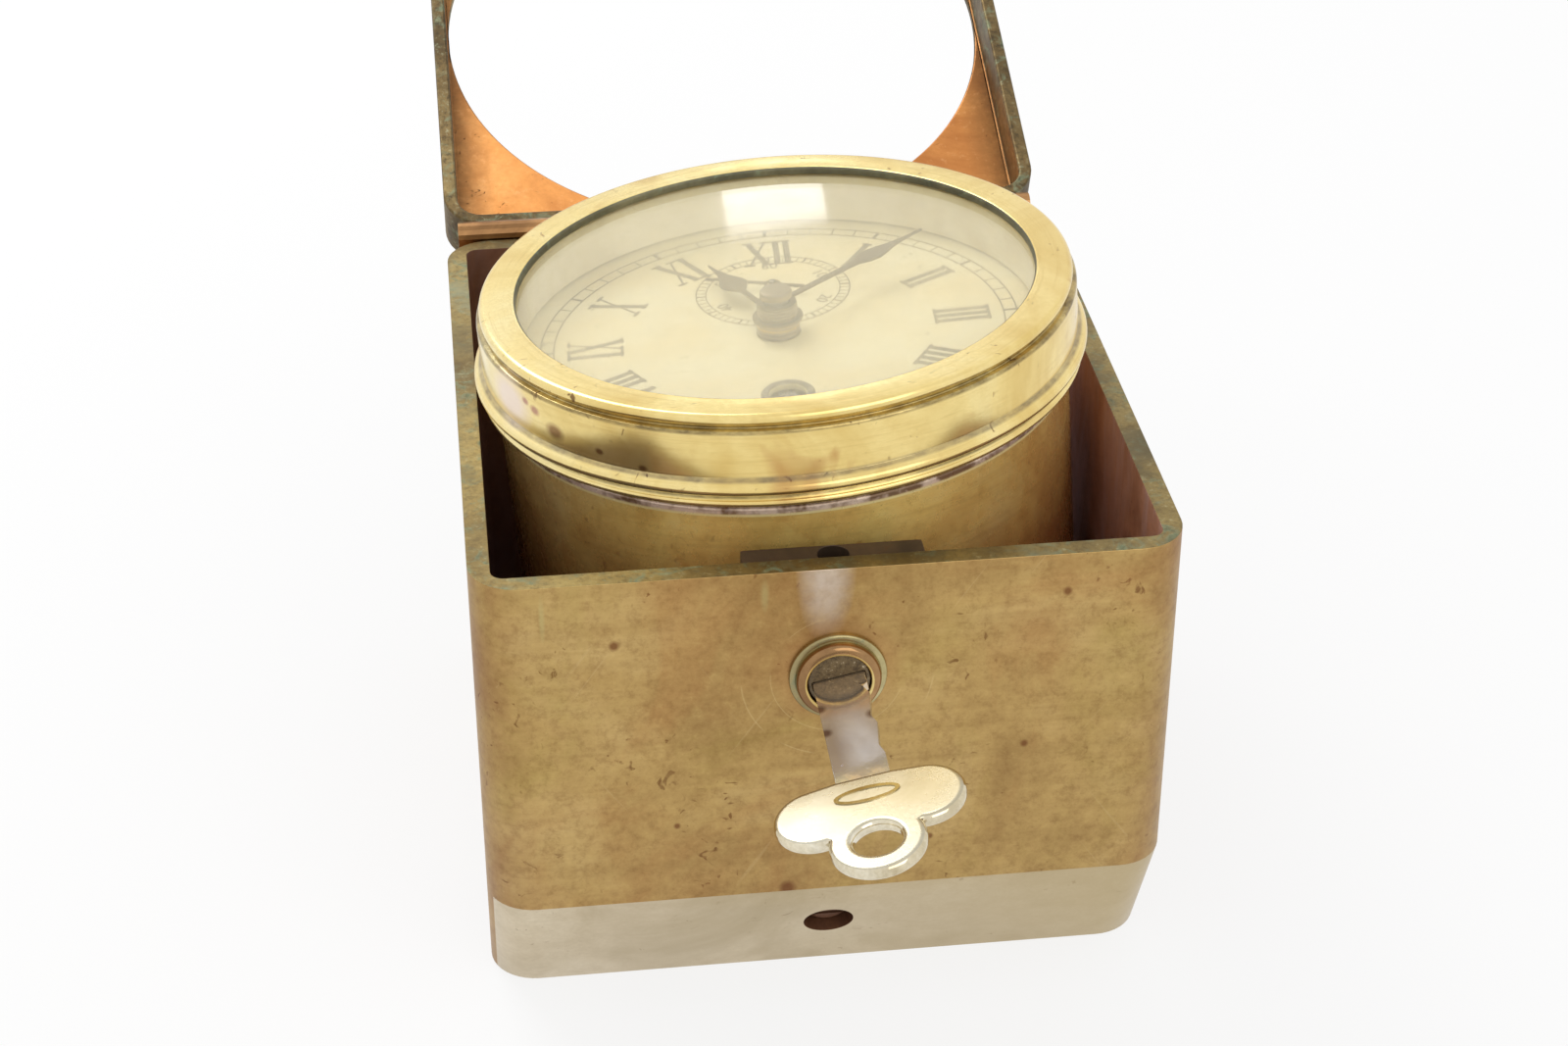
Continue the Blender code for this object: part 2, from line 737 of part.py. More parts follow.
def knuckle(bench, name, index, place, upward):
    """One barrel of the hinge and the web that ties it to its leaf."""
    middle, length = along_x(*knuckle_span(index))
    axis = hinge_axis()
    turn = Matrix.Rotation(math.pi / 2, 4, "Y")
    barrel = rod_mesh(name, KNUCKLE_RADIUS, -length / 2, length / 2, SMALL_STEPS)
    barrel_obj = bench.add(name, barrel, "dark_brass", place @ at(middle, axis.y, axis.z) @ turn)
    reach = KNUCKLE_RADIUS + GAP + LEAF_THICK
    low, high = (axis.z, axis.z + reach) if upward else (axis.z - reach, axis.z)
    web = block_mesh(name + "_web", length, WEB_THICK, low, high)
    y = BOX_DEPTH / 2 + GAP + LEAF_THICK / 2
    return barrel_obj, bench.add(name + "_web", web, "dark_brass", place @ at(middle, y))


def leaf(bench, name, low, high, place, indexes, upward):
    strip = block_mesh(name, HINGE_LENGTH, LEAF_THICK, low, high)
    y = BOX_DEPTH / 2 + GAP + LEAF_THICK / 2
    obj = bench.add(name, strip, "dark_brass", place @ at(y=y))
    for index in indexes:
        bench.fuse(obj, *knuckle(bench, name + "_knuckle" + str(index), index, place, upward))
    axis = hinge_axis()
    bore = rod_mesh(name + "_bore", HINGE_PIN + GAP, -HINGE_LENGTH, HINGE_LENGTH, FINE_STEPS)
    turn = Matrix.Rotation(math.pi / 2, 4, "Y")
    bench.cut(obj, bench.add(name + "_bore", bore, "dark_brass", place @ at(0, axis.y, axis.z) @ turn))
    return obj


def leaf_holes(bench, obj, place, height):
    for side in (-1, 1):
        name = obj.name + "_hole" + str(side)
        frame = place @ hinge_screw_place(side, height)
        bench.cut(obj, screw_hole(bench, name, HINGE_SCREW_SHANK + GAP, -LEAF_THICK * 2, OVER, frame))


def box_leaf(bench):
    axis = hinge_axis()
    top = axis.z - KNUCKLE_RADIUS - GAP
    obj = leaf(bench, "hinge_leaf_box", BOX_HEIGHT - BOX_LEAF_DROP, top, at(), range(0, KNUCKLES, 2), False)
    bench.fuse(obj, stop_lip(bench))
    leaf_holes(bench, obj, at(), box_screw_z())


def stop_lip(bench):
    """The lip that the open lid's leaf comes to rest on."""
    axis = hinge_axis()
    face = HINGE_SETBACK - GAP - LEAF_THICK
    down, out = math.cos(LID_OPEN), math.sin(LID_OPEN)
    height = -STOP_DROP + STOP_THICK
    run = (height - face * out) / down
    reach = -face * down + out * run - GAP / -down
    near = -HINGE_SETBACK + GAP + LEAF_THICK / 2
    lip = block_mesh("stop_lip", STOP_WIDE, reach - near, -STOP_DROP, -STOP_DROP + STOP_THICK)
    return bench.add("stop_lip", lip, "dark_brass", at(0, axis.y + (reach + near) / 2, axis.z))


def lid_leaf(bench):
    low = hinge_axis().z + KNUCKLE_RADIUS + GAP
    place = lid_pose()
    obj = leaf(bench, "hinge_leaf_lid", low, lid_foot() + LID_LEAF_RISE, place, range(1, KNUCKLES, 2), True)
    leaf_holes(bench, obj, place, lid_screw_z())


def hinge_pin(bench):
    axis = hinge_axis()
    turn = Matrix.Rotation(math.pi / 2, 4, "Y")
    pin = rod_mesh("hinge_pin", HINGE_PIN, -HINGE_LENGTH / 2, HINGE_LENGTH / 2, FINE_STEPS)
    bench.add("hinge_pin", pin, "steel", at(0, axis.y, axis.z) @ turn)


def hinge_screws(bench, name, place, height):
    """The two screws of one leaf."""
    sizes = (
        HINGE_SCREW_HEAD,
        HINGE_SCREW_HEAD_THICK,
        HINGE_SCREW_SHANK,
        HINGE_SCREW_LENGTH,
        HINGE_SCREW_SLOT,
    )
    slotted_screw(bench, name + "_left", sizes, "steel", place @ hinge_screw_place(-1, height))
    slotted_screw(bench, name + "_right", sizes, "steel", place @ hinge_screw_place(1, height))


# Lid


def rounded_block(name, width, depth, corner, low, high):
    bm = bmesh.new()
    bmesh.ops.create_cube(bm, size=1)
    bmesh.ops.scale(bm, vec=(width, depth, high - low), verts=bm.verts)
    bmesh.ops.translate(bm, vec=(0, 0, (low + high) / 2), verts=bm.verts)
    upright = [e for e in bm.edges if abs(e.verts[0].co.z - e.verts[1].co.z) > (high - low) / 2]
    bmesh.ops.bevel(bm, geom=upright, offset=corner, segments=CORNER_STEPS, profile=0.5, affect="EDGES")
    return mesh_from(bm, name)


def lid_foot():
    return BOX_HEIGHT + GAP


def catch_y():
    """The catch hole's middle, half way through the lock case."""
    return -BOX_DEPTH / 2 + BOX_WALL + GAP + CASE_THICK / 2


def window_radius():
    """As wide as the lid's sides and the catch post allow."""
    beside = BOX_WIDTH / 2 - WINDOW_RIM
    behind_post = WINDOW_Y - catch_y() - CATCH_POST - WINDOW_SPARE
    return min(beside, behind_post)


def lid_shell(bench):
    low = lid_foot()
    top = low + LID_INSIDE + LID_PLATE
    place = lid_pose()
    shell = bench.add(
        "lid_shell", rounded_block("lid_shell", BOX_WIDTH, BOX_DEPTH, BOX_CORNER, low, top), "brass", place
    )
    width, depth = BOX_WIDTH - 2 * LID_WALL, BOX_DEPTH - 2 * LID_WALL
    tray = rounded_block("lid_tray", width, depth, LID_INNER_CORNER, low - OVER, low + LID_INSIDE)
    bench.cut(shell, bench.add("lid_tray", tray, "brass", place))
    window = rod_mesh("lid_window", window_radius(), low, top + OVER, BIG_STEPS)
    bench.cut(shell, bench.add("lid_window", window, "brass", place @ at(y=WINDOW_Y)))
    for side in (-1, 1):
        name = "lid_hinge_hole" + str(side)
        frame = place @ hinge_screw_place(side, lid_screw_z())
        deep = -BOX_WALL - LID_WALL
        bench.cut(shell, screw_hole(bench, name, HINGE_SCREW_SHANK + GAP, deep, OVER, frame))


def catch_post(bench):
    """Post under the lid's front, necked where the bolt passes."""
    low = CASE_TOP - CATCH_DEEP
    top = lid_foot() + LID_INSIDE - GAP
    neck_low = BOLT_Z - BOLT_HIGH / 2 - CATCH_NECK_SPARE
    neck_high = BOLT_Z + BOLT_HIGH / 2 + CATCH_NECK_SPARE
    profile = [
        (0, top),
        (CATCH_POST, top),
        (CATCH_POST, neck_high),
        (CATCH_NECK, neck_high),
        (CATCH_NECK, neck_low),
        (CATCH_POST, neck_low),
        (CATCH_POST, low + CATCH_POST / 2),
        (CATCH_POST / 2, low),
        (0, low),
    ]
    turned(bench, "catch_post", profile, "steel", lid_pose() @ at(LOCK_X, catch_y()), steps=SMALL_STEPS)


# Lock and key


def lock_place():
    """Frame of the lock: its axis points out of the front wall."""
    return at(LOCK_X, -BOX_DEPTH / 2, LOCK_Z) @ Matrix.Rotation(math.pi / 2, 4, "X")


def lock_cylinder(bench):
    bore = PLUG_RADIUS + GAP
    deep = BOX_WALL + GAP + CASE_THICK - GAP
    profile = [
        (bore, LOCK_DOME_HIGH - LOCK_LIP),
        (bore + LOCK_LIP, LOCK_DOME_HIGH),
        ((bore + LOCK_DOME) / 2, LOCK_DOME_HIGH),
        (LOCK_DOME, LOCK_DOME_HIGH * 0.62),
        (LOCK_DOME, LOCK_FLANGE_THICK + GAP),
        (LOCK_FLANGE - GAP, LOCK_FLANGE_THICK + GAP),
        (LOCK_FLANGE, LOCK_FLANGE_THICK),
        (LOCK_FLANGE, GAP),
        (LOCK_BARREL, GAP),
        (LOCK_BARREL, -deep),
        (bore, -deep),
    ]
    steps = BIG_STEPS // 2
    turned(bench, "lock_cylinder", profile, "brass", lock_place(), steps=steps, loop=True)


def lock_plug(bench):
    """Turning plug, with a keyway right across its face."""
    place = lock_place() @ Matrix.Rotation(KEY_TURN, 4, "Z")
    round_bar = rod_mesh("lock_plug", PLUG_RADIUS, -PLUG_DEEP, PLUG_PROUD, BIG_STEPS // 2)
    plug = bench.add("lock_plug", round_bar, "dark_brass", place)
    slot = block_mesh(
        "keyway",
        KEY_BLADE_WIDE + 2 * GAP,
        KEY_BLADE_THICK + 2 * GAP,
        PLUG_PROUD - KEYWAY_DEEP,
        PLUG_PROUD + OVER,
    )
    bench.cut(plug, bench.add("keyway", slot, "dark_brass", place))


def lock_case(bench):
    back = -BOX_DEPTH / 2 + BOX_WALL + GAP
    y = back + CASE_THICK / 2
    block = block_mesh("lock_case", CASE_WIDTH, CASE_THICK, CASE_FOOT, CASE_TOP)
    case = bench.add("lock_case", block, "dark_brass", at(LOCK_X, y))
    well = rod_mesh("catch_well", CATCH_HOLE, CASE_TOP - CATCH_HOLE_DEEP, CASE_TOP + OVER)
    bench.cut(case, bench.add("catch_well", well, "dark_brass", at(LOCK_X, catch_y())))
    deep = BOX_WALL + GAP + CASE_THICK + OVER
    bore = rod_mesh("case_bore", LOCK_BARREL + GAP, -deep, 0, BIG_STEPS // 2)
    bench.cut(case, bench.add("case_bore", bore, "dark_brass", lock_place()))
    run = CASE_WIDTH / 2 + OVER
    channel = block_mesh(
        "bolt_channel",
        run,
        BOLT_THICK + 2 * GAP,
        BOLT_Z - BOLT_HIGH / 2 - GAP,
        BOLT_Z + BOLT_HIGH / 2 + GAP,
    )
    bench.cut(case, bench.add("bolt_channel", channel, "dark_brass", at(LOCK_X + run / 2, catch_y())))


def lock_bolt(bench):
    """Drawn back clear of the catch hole."""
    start = CATCH_HOLE + GAP
    bolt = block_mesh("lock_bolt", BOLT_LONG, BOLT_THICK, BOLT_Z - BOLT_HIGH / 2, BOLT_Z + BOLT_HIGH / 2)
    bench.add("lock_bolt", bolt, "steel", at(LOCK_X + start + BOLT_LONG / 2, catch_y()))


def arc(middle, radius, first, last, steps):
    """Points on an arc, given by shares of a turn."""
    shares = (first + (last - first) * k / steps for k in range(steps + 1))
    return [(middle[0] + x, middle[1] + y) for x, y in (polar(radius, share) for share in shares)]


def key_bow_outline():
    """Right half of the bow from the blade round to the eye's end, then its mirror."""
    eye = (0, -KEY_END_OUT + KEY_EYE_RING)
    lobe = (KEY_BOW_WIDE / 2 - KEY_LOBE, -KEY_BLADE_OUT - KEY_LOBE - KEY_LOBE_SPARE)
    half = [(KEY_BLADE_WIDE / 2, -KEY_BLADE_OUT)]
    half += arc(lobe, KEY_LOBE, *KEY_LOBE_SHARES, LOBE_STEPS)
    half += arc(eye, KEY_EYE_RING, *KEY_EYE_SHARES, EYE_STEPS)
    half.append((0, -KEY_END_OUT))
    return half + [(-x, y) for x, y in reversed(half[:-1])]


def key(bench):
    """Flat key: blade in the plug, round-lobed bow, all on the plug's axis."""
    frame = lock_place() @ Matrix.Rotation(KEY_TURN, 4, "Z") @ Matrix.Rotation(math.pi / 2, 4, "X")
    thick = KEY_BOW_THICK / 2
    eye = ring_of(KEY_EYE, SMALL_STEPS, (0, -KEY_END_OUT + KEY_EYE_RING))
    outlines = [turned_flat(points, 1 / 2) for points in (key_bow_outline(), eye)]
    bow = flat_curve(bench, "key", outlines, -thick, thick, "nickel", frame)
    bow = as_mesh(bench, bow)
    half = KEY_BLADE_THICK / 2
    blade = flat_curve(bench, "key_blade", [key_blade_outline()], -half, half, "nickel", frame)
    bench.fuse(bow, as_mesh(bench, blade))


def key_blade_outline():
    """Blade from its tip in the plug to under the bow, with the cuts along one side."""
    tip = PLUG_PROUD - KEYWAY_DEEP + GAP
    end = KEY_BLADE_OUT + OVER
    half = KEY_BLADE_WIDE / 2
    cuts = [
        (half - KEY_BLADE_WIDE * depth, tip + (end - tip) * along) for along, depth in KEY_CUT_SHARES
    ]
    return [(half, tip)] + cuts + [(half, end), (-half, end), (-half, tip)]


# Clock case, bezel and dial


def drum_case(bench):
    profile = [
        (0, DRUM_BOTTOM + DRUM_FLOOR),
        (DRUM_BORE, DRUM_BOTTOM + DRUM_FLOOR),
        (DRUM_BORE, NECK_TOP),
        (NECK_RADIUS, NECK_TOP),
        (NECK_RADIUS, DRUM_SHOULDER),
        (DRUM_RADIUS - DRUM_CHAMFER, DRUM_SHOULDER),
        (DRUM_RADIUS, DRUM_SHOULDER - DRUM_CHAMFER),
        (DRUM_RADIUS, DRUM_BOTTOM + DRUM_CHAMFER),
        (DRUM_RADIUS - DRUM_CHAMFER, DRUM_BOTTOM),
        (0, DRUM_BOTTOM),
    ]
    turned(bench, "drum_case", profile, "brass", in_clock=True, steps=BIG_STEPS)


def bezel_outside():
    """Outer side of the bezel from the opening's edge down to the foot of its skirt."""
    rim_low = BEZEL_TOP - RIM_ROLL
    groove_low = rim_low - GROOVE_HIGH
    low, high = BEZEL_FOOT + BEAD_LOW, BEZEL_FOOT + BEAD_HIGH
    middle, half = (low + high) / 2, (high - low) / 2
    return [
        (BEZEL_OPENING, BEZEL_TOP - BEZEL_EDGE),
        (BEZEL_OPENING + BEZEL_EDGE, BEZEL_TOP),
        (BEZEL_FLAT, BEZEL_TOP),
        (BEZEL_RIM - RIM_GROOVE, BEZEL_TOP - RIM_GROOVE),
        (BEZEL_RIM, BEZEL_TOP - 2 * RIM_GROOVE),
        (BEZEL_RIM - RIM_GROOVE, rim_low),
        (BEZEL_RIM - RIM_GROOVE, groove_low),
        (BEZEL_BAND, groove_low - RIM_GROOVE),
        (BEZEL_BAND, high),
        (BEZEL_BEAD - half * 0.35, high - half * 0.25),
        (BEZEL_BEAD, middle),
        (BEZEL_BEAD - half * 0.35, low + half * 0.25),
        (BEZEL_BAND - RIM_GROOVE / 2, low),
        (THIN_BEAD, low - GROOVE_HIGH),
        (THIN_BEAD, BEZEL_FOOT + BEZEL_EDGE),
        (THIN_BEAD - BEZEL_EDGE, BEZEL_FOOT),
    ]


def bezel(bench):
    inside = [
        (BEZEL_SKIRT_BORE, BEZEL_FOOT),
        (BEZEL_SKIRT_BORE, BEZEL_FOOT + SKIRT_STEP),
        (BEZEL_UPPER_BORE, BEZEL_FOOT + SKIRT_STEP + BEZEL_SKIRT_BORE - BEZEL_UPPER_BORE),
        (BEZEL_UPPER_BORE, BEZEL_TOP - BEZEL_LIP),
        (BEZEL_OPENING, BEZEL_TOP - BEZEL_LIP),
    ]
    profile = bezel_outside() + inside
    turned(bench, "bezel", profile, "bright_brass", in_clock=True, steps=BIG_STEPS, loop=True)


def glass_top():
    return BEZEL_TOP - BEZEL_LIP - GAP


def glass(bench):
    radius, top = BEZEL_UPPER_BORE - GAP, glass_top()
    profile = [
        (0, top),
        (radius - GLASS_EDGE, top),
        (radius, top - GLASS_EDGE),
        (radius, top - GLASS_THICK),
        (0, top - GLASS_THICK),
    ]
    turned(bench, "glass", profile, "glass", in_clock=True, steps=BIG_STEPS)


def glass_ring(bench):
    """Sloping ring between the glass and the dial."""
    radius = BEZEL_UPPER_BORE - GAP
    top = glass_top() - GLASS_THICK - GAP
    low = BEZEL_FOOT + SKIRT_STEP + BEZEL_SKIRT_BORE - BEZEL_UPPER_BORE
    profile = [
        (radius - RING_TOP_WALL, top),
        (radius, top),
        (radius, low),
        (radius - RING_FOOT_WALL, low),
        (radius - RING_FOOT_WALL, low + RING_FOOT_HEIGHT),
    ]
    turned(bench, "glass_ring", profile, "silvered", in_clock=True, steps=BIG_STEPS, loop=True)


def dial_low():
    return NECK_TOP + GAP


def dial(bench):
    outlines = [
        ring_of(DIAL_RADIUS, BIG_STEPS),
        ring_of(DIAL_HOLE, SMALL_STEPS),
        ring_of(SECONDS_HOLE, FINE_STEPS, (0, SECONDS_REACH)),
        ring_of(WINDING_HOLE, SMALL_STEPS, (0, -WINDING_REACH)),
    ]
    top = dial_low() + DIAL_THICK
    face = flat_curve(bench, "dial", outlines, dial_low(), top, "silvered", in_clock=True)
    low = FRONT_PLATE + PLATE_THICK + GAP
    high = dial_low() + DIAL_THICK / 2
    feet = rods_on_ring(bench, "dial_foot", FOOT_RING, POST_SHARES, DIAL_FOOT_RADIUS, low, high, "silvered")
    bench.fuse(as_mesh(bench, face), *feet)


def rods_on_ring(bench, name, ring, shares, radius, low, high, finish):
    """Equal rods on a circle, numbered from one."""
    made = []
    for index, share in enumerate(shares):
        x, y = polar(ring, share)
        label = name + "_" + str(index + 1)
        rod = rod_mesh(label, radius, low, high, FINE_STEPS)
        made.append(bench.add(label, rod, finish, at(x, y), True))
    return made


def plate_pillars(bench):
    ends = (BACK_PLATE + PLATE_THICK + GAP, FRONT_PLATE - GAP)
    rods_on_ring(bench, "plate_pillar", PILLAR_RING, PILLAR_SHARES, PILLAR_RADIUS, *ends, "bright_brass")


# Places of the arbors


def between(first, second, near, far):
    """The point at the two distances, on the right of the line from first to second."""
    start, line = Vector(first), Vector(second) - Vector(first)
    along = (near**2 - far**2 + line.length_squared) / (2 * line.length)
    side = math.sqrt(near**2 - along**2)
    unit = line.normalized()
    return tuple(start + unit * along + Vector((unit.y, -unit.x)) * side)


def step_from(place, reach, share):
    x, y = polar(reach, share)
    return (place[0] + x, place[1] + y)


def centre_distance(teeth, leaves, module):
    return (teeth + leaves) * module / 2


CENTRE = (0.0, 0.0)
FOURTH = (0.0, SECONDS_REACH)
BARREL = (0.0, -WINDING_REACH)
THIRD = between(
    CENTRE,
    FOURTH,
    centre_distance(CENTRE_TEETH, THIRD_LEAVES, CENTRE_MODULE),
    centre_distance(THIRD_TEETH, FOURTH_LEAVES, THIRD_MODULE),
)
ESCAPE = step_from(FOURTH, centre_distance(FOURTH_TEETH, ESCAPE_LEAVES, FOURTH_MODULE), ESCAPE_SHARE)
PALLET = step_from(ESCAPE, PALLET_REACH, PALLET_SHARE)
BALANCE = step_from(PALLET, BALANCE_REACH, PALLET_SHARE)
MINUTE = step_from(CENTRE, centre_distance(MINUTE_TEETH, CANNON_LEAVES, MOTION_MODULE), MOTION_SHARE)
GREAT_MODULE = 2 * WINDING_REACH / (GREAT_TEETH + CENTRE_LEAVES)
HOUR_MODULE = MOTION_MODULE * (MINUTE_TEETH + CANNON_LEAVES) / (HOUR_TEETH + MINUTE_LEAVES)
CLICK = step_from(BARREL, CLICK_REACH, CLICK_SHARE)


def bearing(first, second):
    """The way from one place to another, as a share of a turn."""
    return math.atan2(second[1] - first[1], second[0] - first[0]) / (2 * math.pi)


def meshed(share, teeth, other_teeth, way):
    """The phase of a wheel that puts its gap at the other wheel's tooth."""
    return way + 1 / 2 - (1 / 2 - (way - share) * teeth) / other_teeth


def tooth_outline(teeth, module, share, flanks):
    """Four points a tooth: root, tip, tip, root."""
    pitch = teeth * module / 2
    root, tip = pitch - DEDENDUM_SHARE * module, pitch + ADDENDUM_SHARE * module
    foot, head = flanks
    points = []
    for tooth in range(teeth):
        for radius, part in ((root, -foot), (tip, -head), (tip, head), (root, foot)):
            points.append(polar(radius, share + (tooth + part) / teeth))
    return points


def windows(inner, outer, arms, spoke, share=0.0):
    """Openings between the arms of a wheel."""
    found = []
    for arm in range(arms):
        first = share + arm / arms
        outer_half = spoke / (outer * 4 * math.pi)
        inner_half = spoke / (inner * 4 * math.pi)
        rim = arc(CENTRE, outer, first + outer_half, first + 1 / arms - outer_half, 12 // arms)
        hub = arc(CENTRE, inner, first + 1 / arms - inner_half, first + inner_half, 8 // arms)
        found.append(rim + hub)
    return found


def wheel(bench, name, place, teeth, module, share, low, finish="bright_brass"):
    """A crossed-out wheel that fits its arbor."""
    root = (teeth / 2 - DEDENDUM_SHARE) * module
    outlines = [tooth_outline(teeth, module, share, WHEEL_FLANK_SHARES)]
    outlines.append(ring_of(ARBOR + GAP, FINE_STEPS))
    outlines += windows(ARBOR + HUB_WALL, root - RIM_WALL, 4, RIM_WALL, share)
    return flat_curve(bench, name, outlines, low, low + WHEEL_THICK, finish, at(*place), True)


def pinion(bench, name, place, leaves, module, share, low, high, finish="steel"):
    outline = tooth_outline(leaves, module, share, PINION_FLANK_SHARES)
    return as_mesh(bench, flat_curve(bench, name, [outline], low, high, finish, at(*place), True))


def arbor_profile(low, high, top=None, top_radius=None):
    """Pivot in the back plate, body between the plates, pivot or longer end above."""
    foot = BACK_PLATE
    roof = FRONT_PLATE + PLATE_THICK if top is None else top
    upper = PIVOT if top_radius is None else top_radius
    return [
        (0, roof),
        (upper, roof),
        (upper, high),
        (ARBOR, high),
        (ARBOR, low),
        (PIVOT, low),
        (PIVOT, foot),
        (0, foot),
    ]


def arbor(bench, name, place, top=None, top_radius=None):
    low, high = BACK_PLATE + PLATE_THICK + SHOULDER, FRONT_PLATE - SHOULDER
    profile = arbor_profile(low, high, top, top_radius)
    return turned(bench, name, profile, "steel", at(*place), True, steps=FINE_STEPS)


def going_phases():
    """The phase of each wheel and pinion, so that all are in mesh at rest."""
    great = 0.0
    return {
        "great": great,
        "centre_pinion": meshed(great, GREAT_TEETH, CENTRE_LEAVES, bearing(BARREL, CENTRE)),
        "third_pinion": meshed(0.0, CENTRE_TEETH, THIRD_LEAVES, bearing(CENTRE, THIRD)),
        "fourth_pinion": meshed(0.0, THIRD_TEETH, FOURTH_LEAVES, bearing(THIRD, FOURTH)),
        "escape_pinion": meshed(0.0, FOURTH_TEETH, ESCAPE_LEAVES, bearing(FOURTH, ESCAPE)),
    }


def going_train(bench):
    phases = going_phases()
    half = PINION_EXTRA
    centre = arbor(bench, "centre_arbor", CENTRE, NUT_TOP - NUT_ROOF - GAP, PIVOT * 2)
    low = GREAT_LEVEL - half / 2
    high = GREAT_LEVEL + GREAT_THICK + half
    phase = phases["centre_pinion"]
    leaves = pinion(bench, "centre_pinion", CENTRE, CENTRE_LEAVES, GREAT_MODULE, phase, low, high)
    bench.fuse(centre, leaves)
    wheel(bench, "centre_wheel", CENTRE, CENTRE_TEETH, CENTRE_MODULE, 0.0, CENTRE_LEVEL)
    rows = (
        ("third", THIRD, THIRD_LEAVES, CENTRE_MODULE, CENTRE_LEVEL, None, None),
        ("fourth", FOURTH, FOURTH_LEAVES, THIRD_MODULE, THIRD_LEVEL, SECONDS_TIP, SECONDS_ARBOR),
        ("escape", ESCAPE, ESCAPE_LEAVES, FOURTH_MODULE, FOURTH_LEVEL, None, None),
    )
    for name, place, leaves, module, level, top, radius in rows:
        shaft = arbor(bench, name + "_arbor", place, top, radius)
        phase = phases[name + "_pinion"]
        low, high = level - half, level + WHEEL_THICK + half
        bench.fuse(shaft, pinion(bench, name + "_pinion", place, leaves, module, phase, low, high))
    wheel(bench, "third_wheel", THIRD, THIRD_TEETH, THIRD_MODULE, 0.0, THIRD_LEVEL)
    wheel(bench, "fourth_wheel", FOURTH, FOURTH_TEETH, FOURTH_MODULE, 0.0, FOURTH_LEVEL)
    escape_wheel(bench)


def escape_wheel(bench):
    """Fifteen pointed teeth that lean the way the wheel turns."""
    tooth_corners = (
        (ESCAPE_ROOT, 0.0),
        (ESCAPE_RADIUS, 0.42),
        (ESCAPE_RADIUS, 0.52),
        (ESCAPE_ROOT, 0.55),
    )
    points = []
    for tooth in range(ESCAPE_TEETH):
        for radius, part in tooth_corners:
            points.append(polar(radius, (tooth + part) / ESCAPE_TEETH))
    outlines = [points, ring_of(ARBOR + GAP, FINE_STEPS)]
    high = ESCAPE_LEVEL + ESCAPE_THICK
    flat_curve(bench, "escape_wheel", outlines, ESCAPE_LEVEL, high, "bright_brass", at(*ESCAPE), True)


# Spring barrel and winding work


def barrel(bench):
    low = GREAT_LEVEL + GREAT_THICK - GAP
    bore = BARREL_ARBOR + GAP
    floor = low + BARREL_WALL
    profile = [
        (bore, floor),
        (BARREL_RADIUS - BARREL_WALL, floor),
        (BARREL_RADIUS - BARREL_WALL, BARREL_TOP),
        (BARREL_RADIUS, BARREL_TOP),
        (BARREL_RADIUS, low),
        (bore, low),
    ]
    drum = turned(bench, "barrel", profile, "brass", at(*BARREL), True, steps=PLATE_STEPS, loop=True)
    outline = tooth_outline(GREAT_TEETH, GREAT_MODULE, going_phases()["great"], WHEEL_FLANK_SHARES)
    outlines = [outline, ring_of(bore + GAP, SMALL_STEPS)]
    high = GREAT_LEVEL + GREAT_THICK
    teeth = flat_curve(bench, "great_wheel", outlines, GREAT_LEVEL, high, "brass", at(*BARREL), True)
    bench.fuse(drum, as_mesh(bench, teeth))


def barrel_cap(bench):
    radius = BARREL_RADIUS - BARREL_WALL - GAP
    outlines = [ring_of(radius, PLATE_STEPS), ring_of(BARREL_ARBOR + GAP, SMALL_STEPS)]
    low = BARREL_TOP - CAP_THICK
    flat_curve(bench, "barrel_cap", outlines, low, BARREL_TOP, "brass", at(*BARREL), True)


def spring_radius(turn, inner, outer):
    return inner + (outer - inner) * turn / SPRING_TURNS


def mainspring(bench):
    """A ribbon wound inside the barrel, clear of the arbor and the wall."""
    inner = BARREL_ARBOR + 2 * GAP
    outer = BARREL_RADIUS - BARREL_WALL - GAP - SPRING_THICK
    count = SPRING_TURNS * SPRING_STEPS
    turns = [k / SPRING_STEPS for k in range(count + 1)]
    near = [polar(spring_radius(t, inner, outer), t) for t in turns]
    far = [polar(spring_radius(t, inner, outer) + SPRING_THICK, t) for t in turns]
    low = GREAT_LEVEL + GREAT_THICK + BARREL_WALL
    high = BARREL_TOP - CAP_THICK - GAP
    flat_curve(bench, "mainspring", [far + near[::-1]], low, high, "steel", at(*BARREL), True)


def ratchet_low():
    return FRONT_PLATE + PLATE_THICK + RATCHET_LIFT


def winding_arbor(bench):
    """Barrel arbor with its pivots, and the square that the winding key turns."""
    low, high = BACK_PLATE + PLATE_THICK + SHOULDER, FRONT_PLATE - SHOULDER
    top = ratchet_low() + RATCHET_THICK + GAP
    profile = [
        (0, top),
        (BARREL_PIVOT, top),
        (BARREL_PIVOT, high),
        (BARREL_ARBOR, high),
        (BARREL_ARBOR, low),
        (BARREL_PIVOT, low),
        (BARREL_PIVOT, BACK_PLATE),
        (0, BACK_PLATE),
    ]
    shaft = turned(bench, "winding_arbor", profile, "steel", at(*BARREL), True, steps=SMALL_STEPS)
    square = block_mesh("winding_square", WINDING_SQUARE, WINDING_SQUARE, top - GAP, WINDING_TOP)
    bench.fuse(shaft, bench.add("winding_square", square, "steel", at(*BARREL), True))


def ratchet_wheel(bench):
    points = []
    for tooth in range(RATCHET_TEETH):
        points.append(polar(RATCHET_RADIUS, tooth / RATCHET_TEETH))
        points.append(polar(RATCHET_RADIUS - RATCHET_DEPTH, (tooth + 0.15) / RATCHET_TEETH))
    outlines = [points, ring_of(BARREL_PIVOT + GAP, SMALL_STEPS)]
    low = ratchet_low()
    flat_curve(bench, "ratchet_wheel", outlines, low, low + RATCHET_THICK, "steel", at(*BARREL), True)


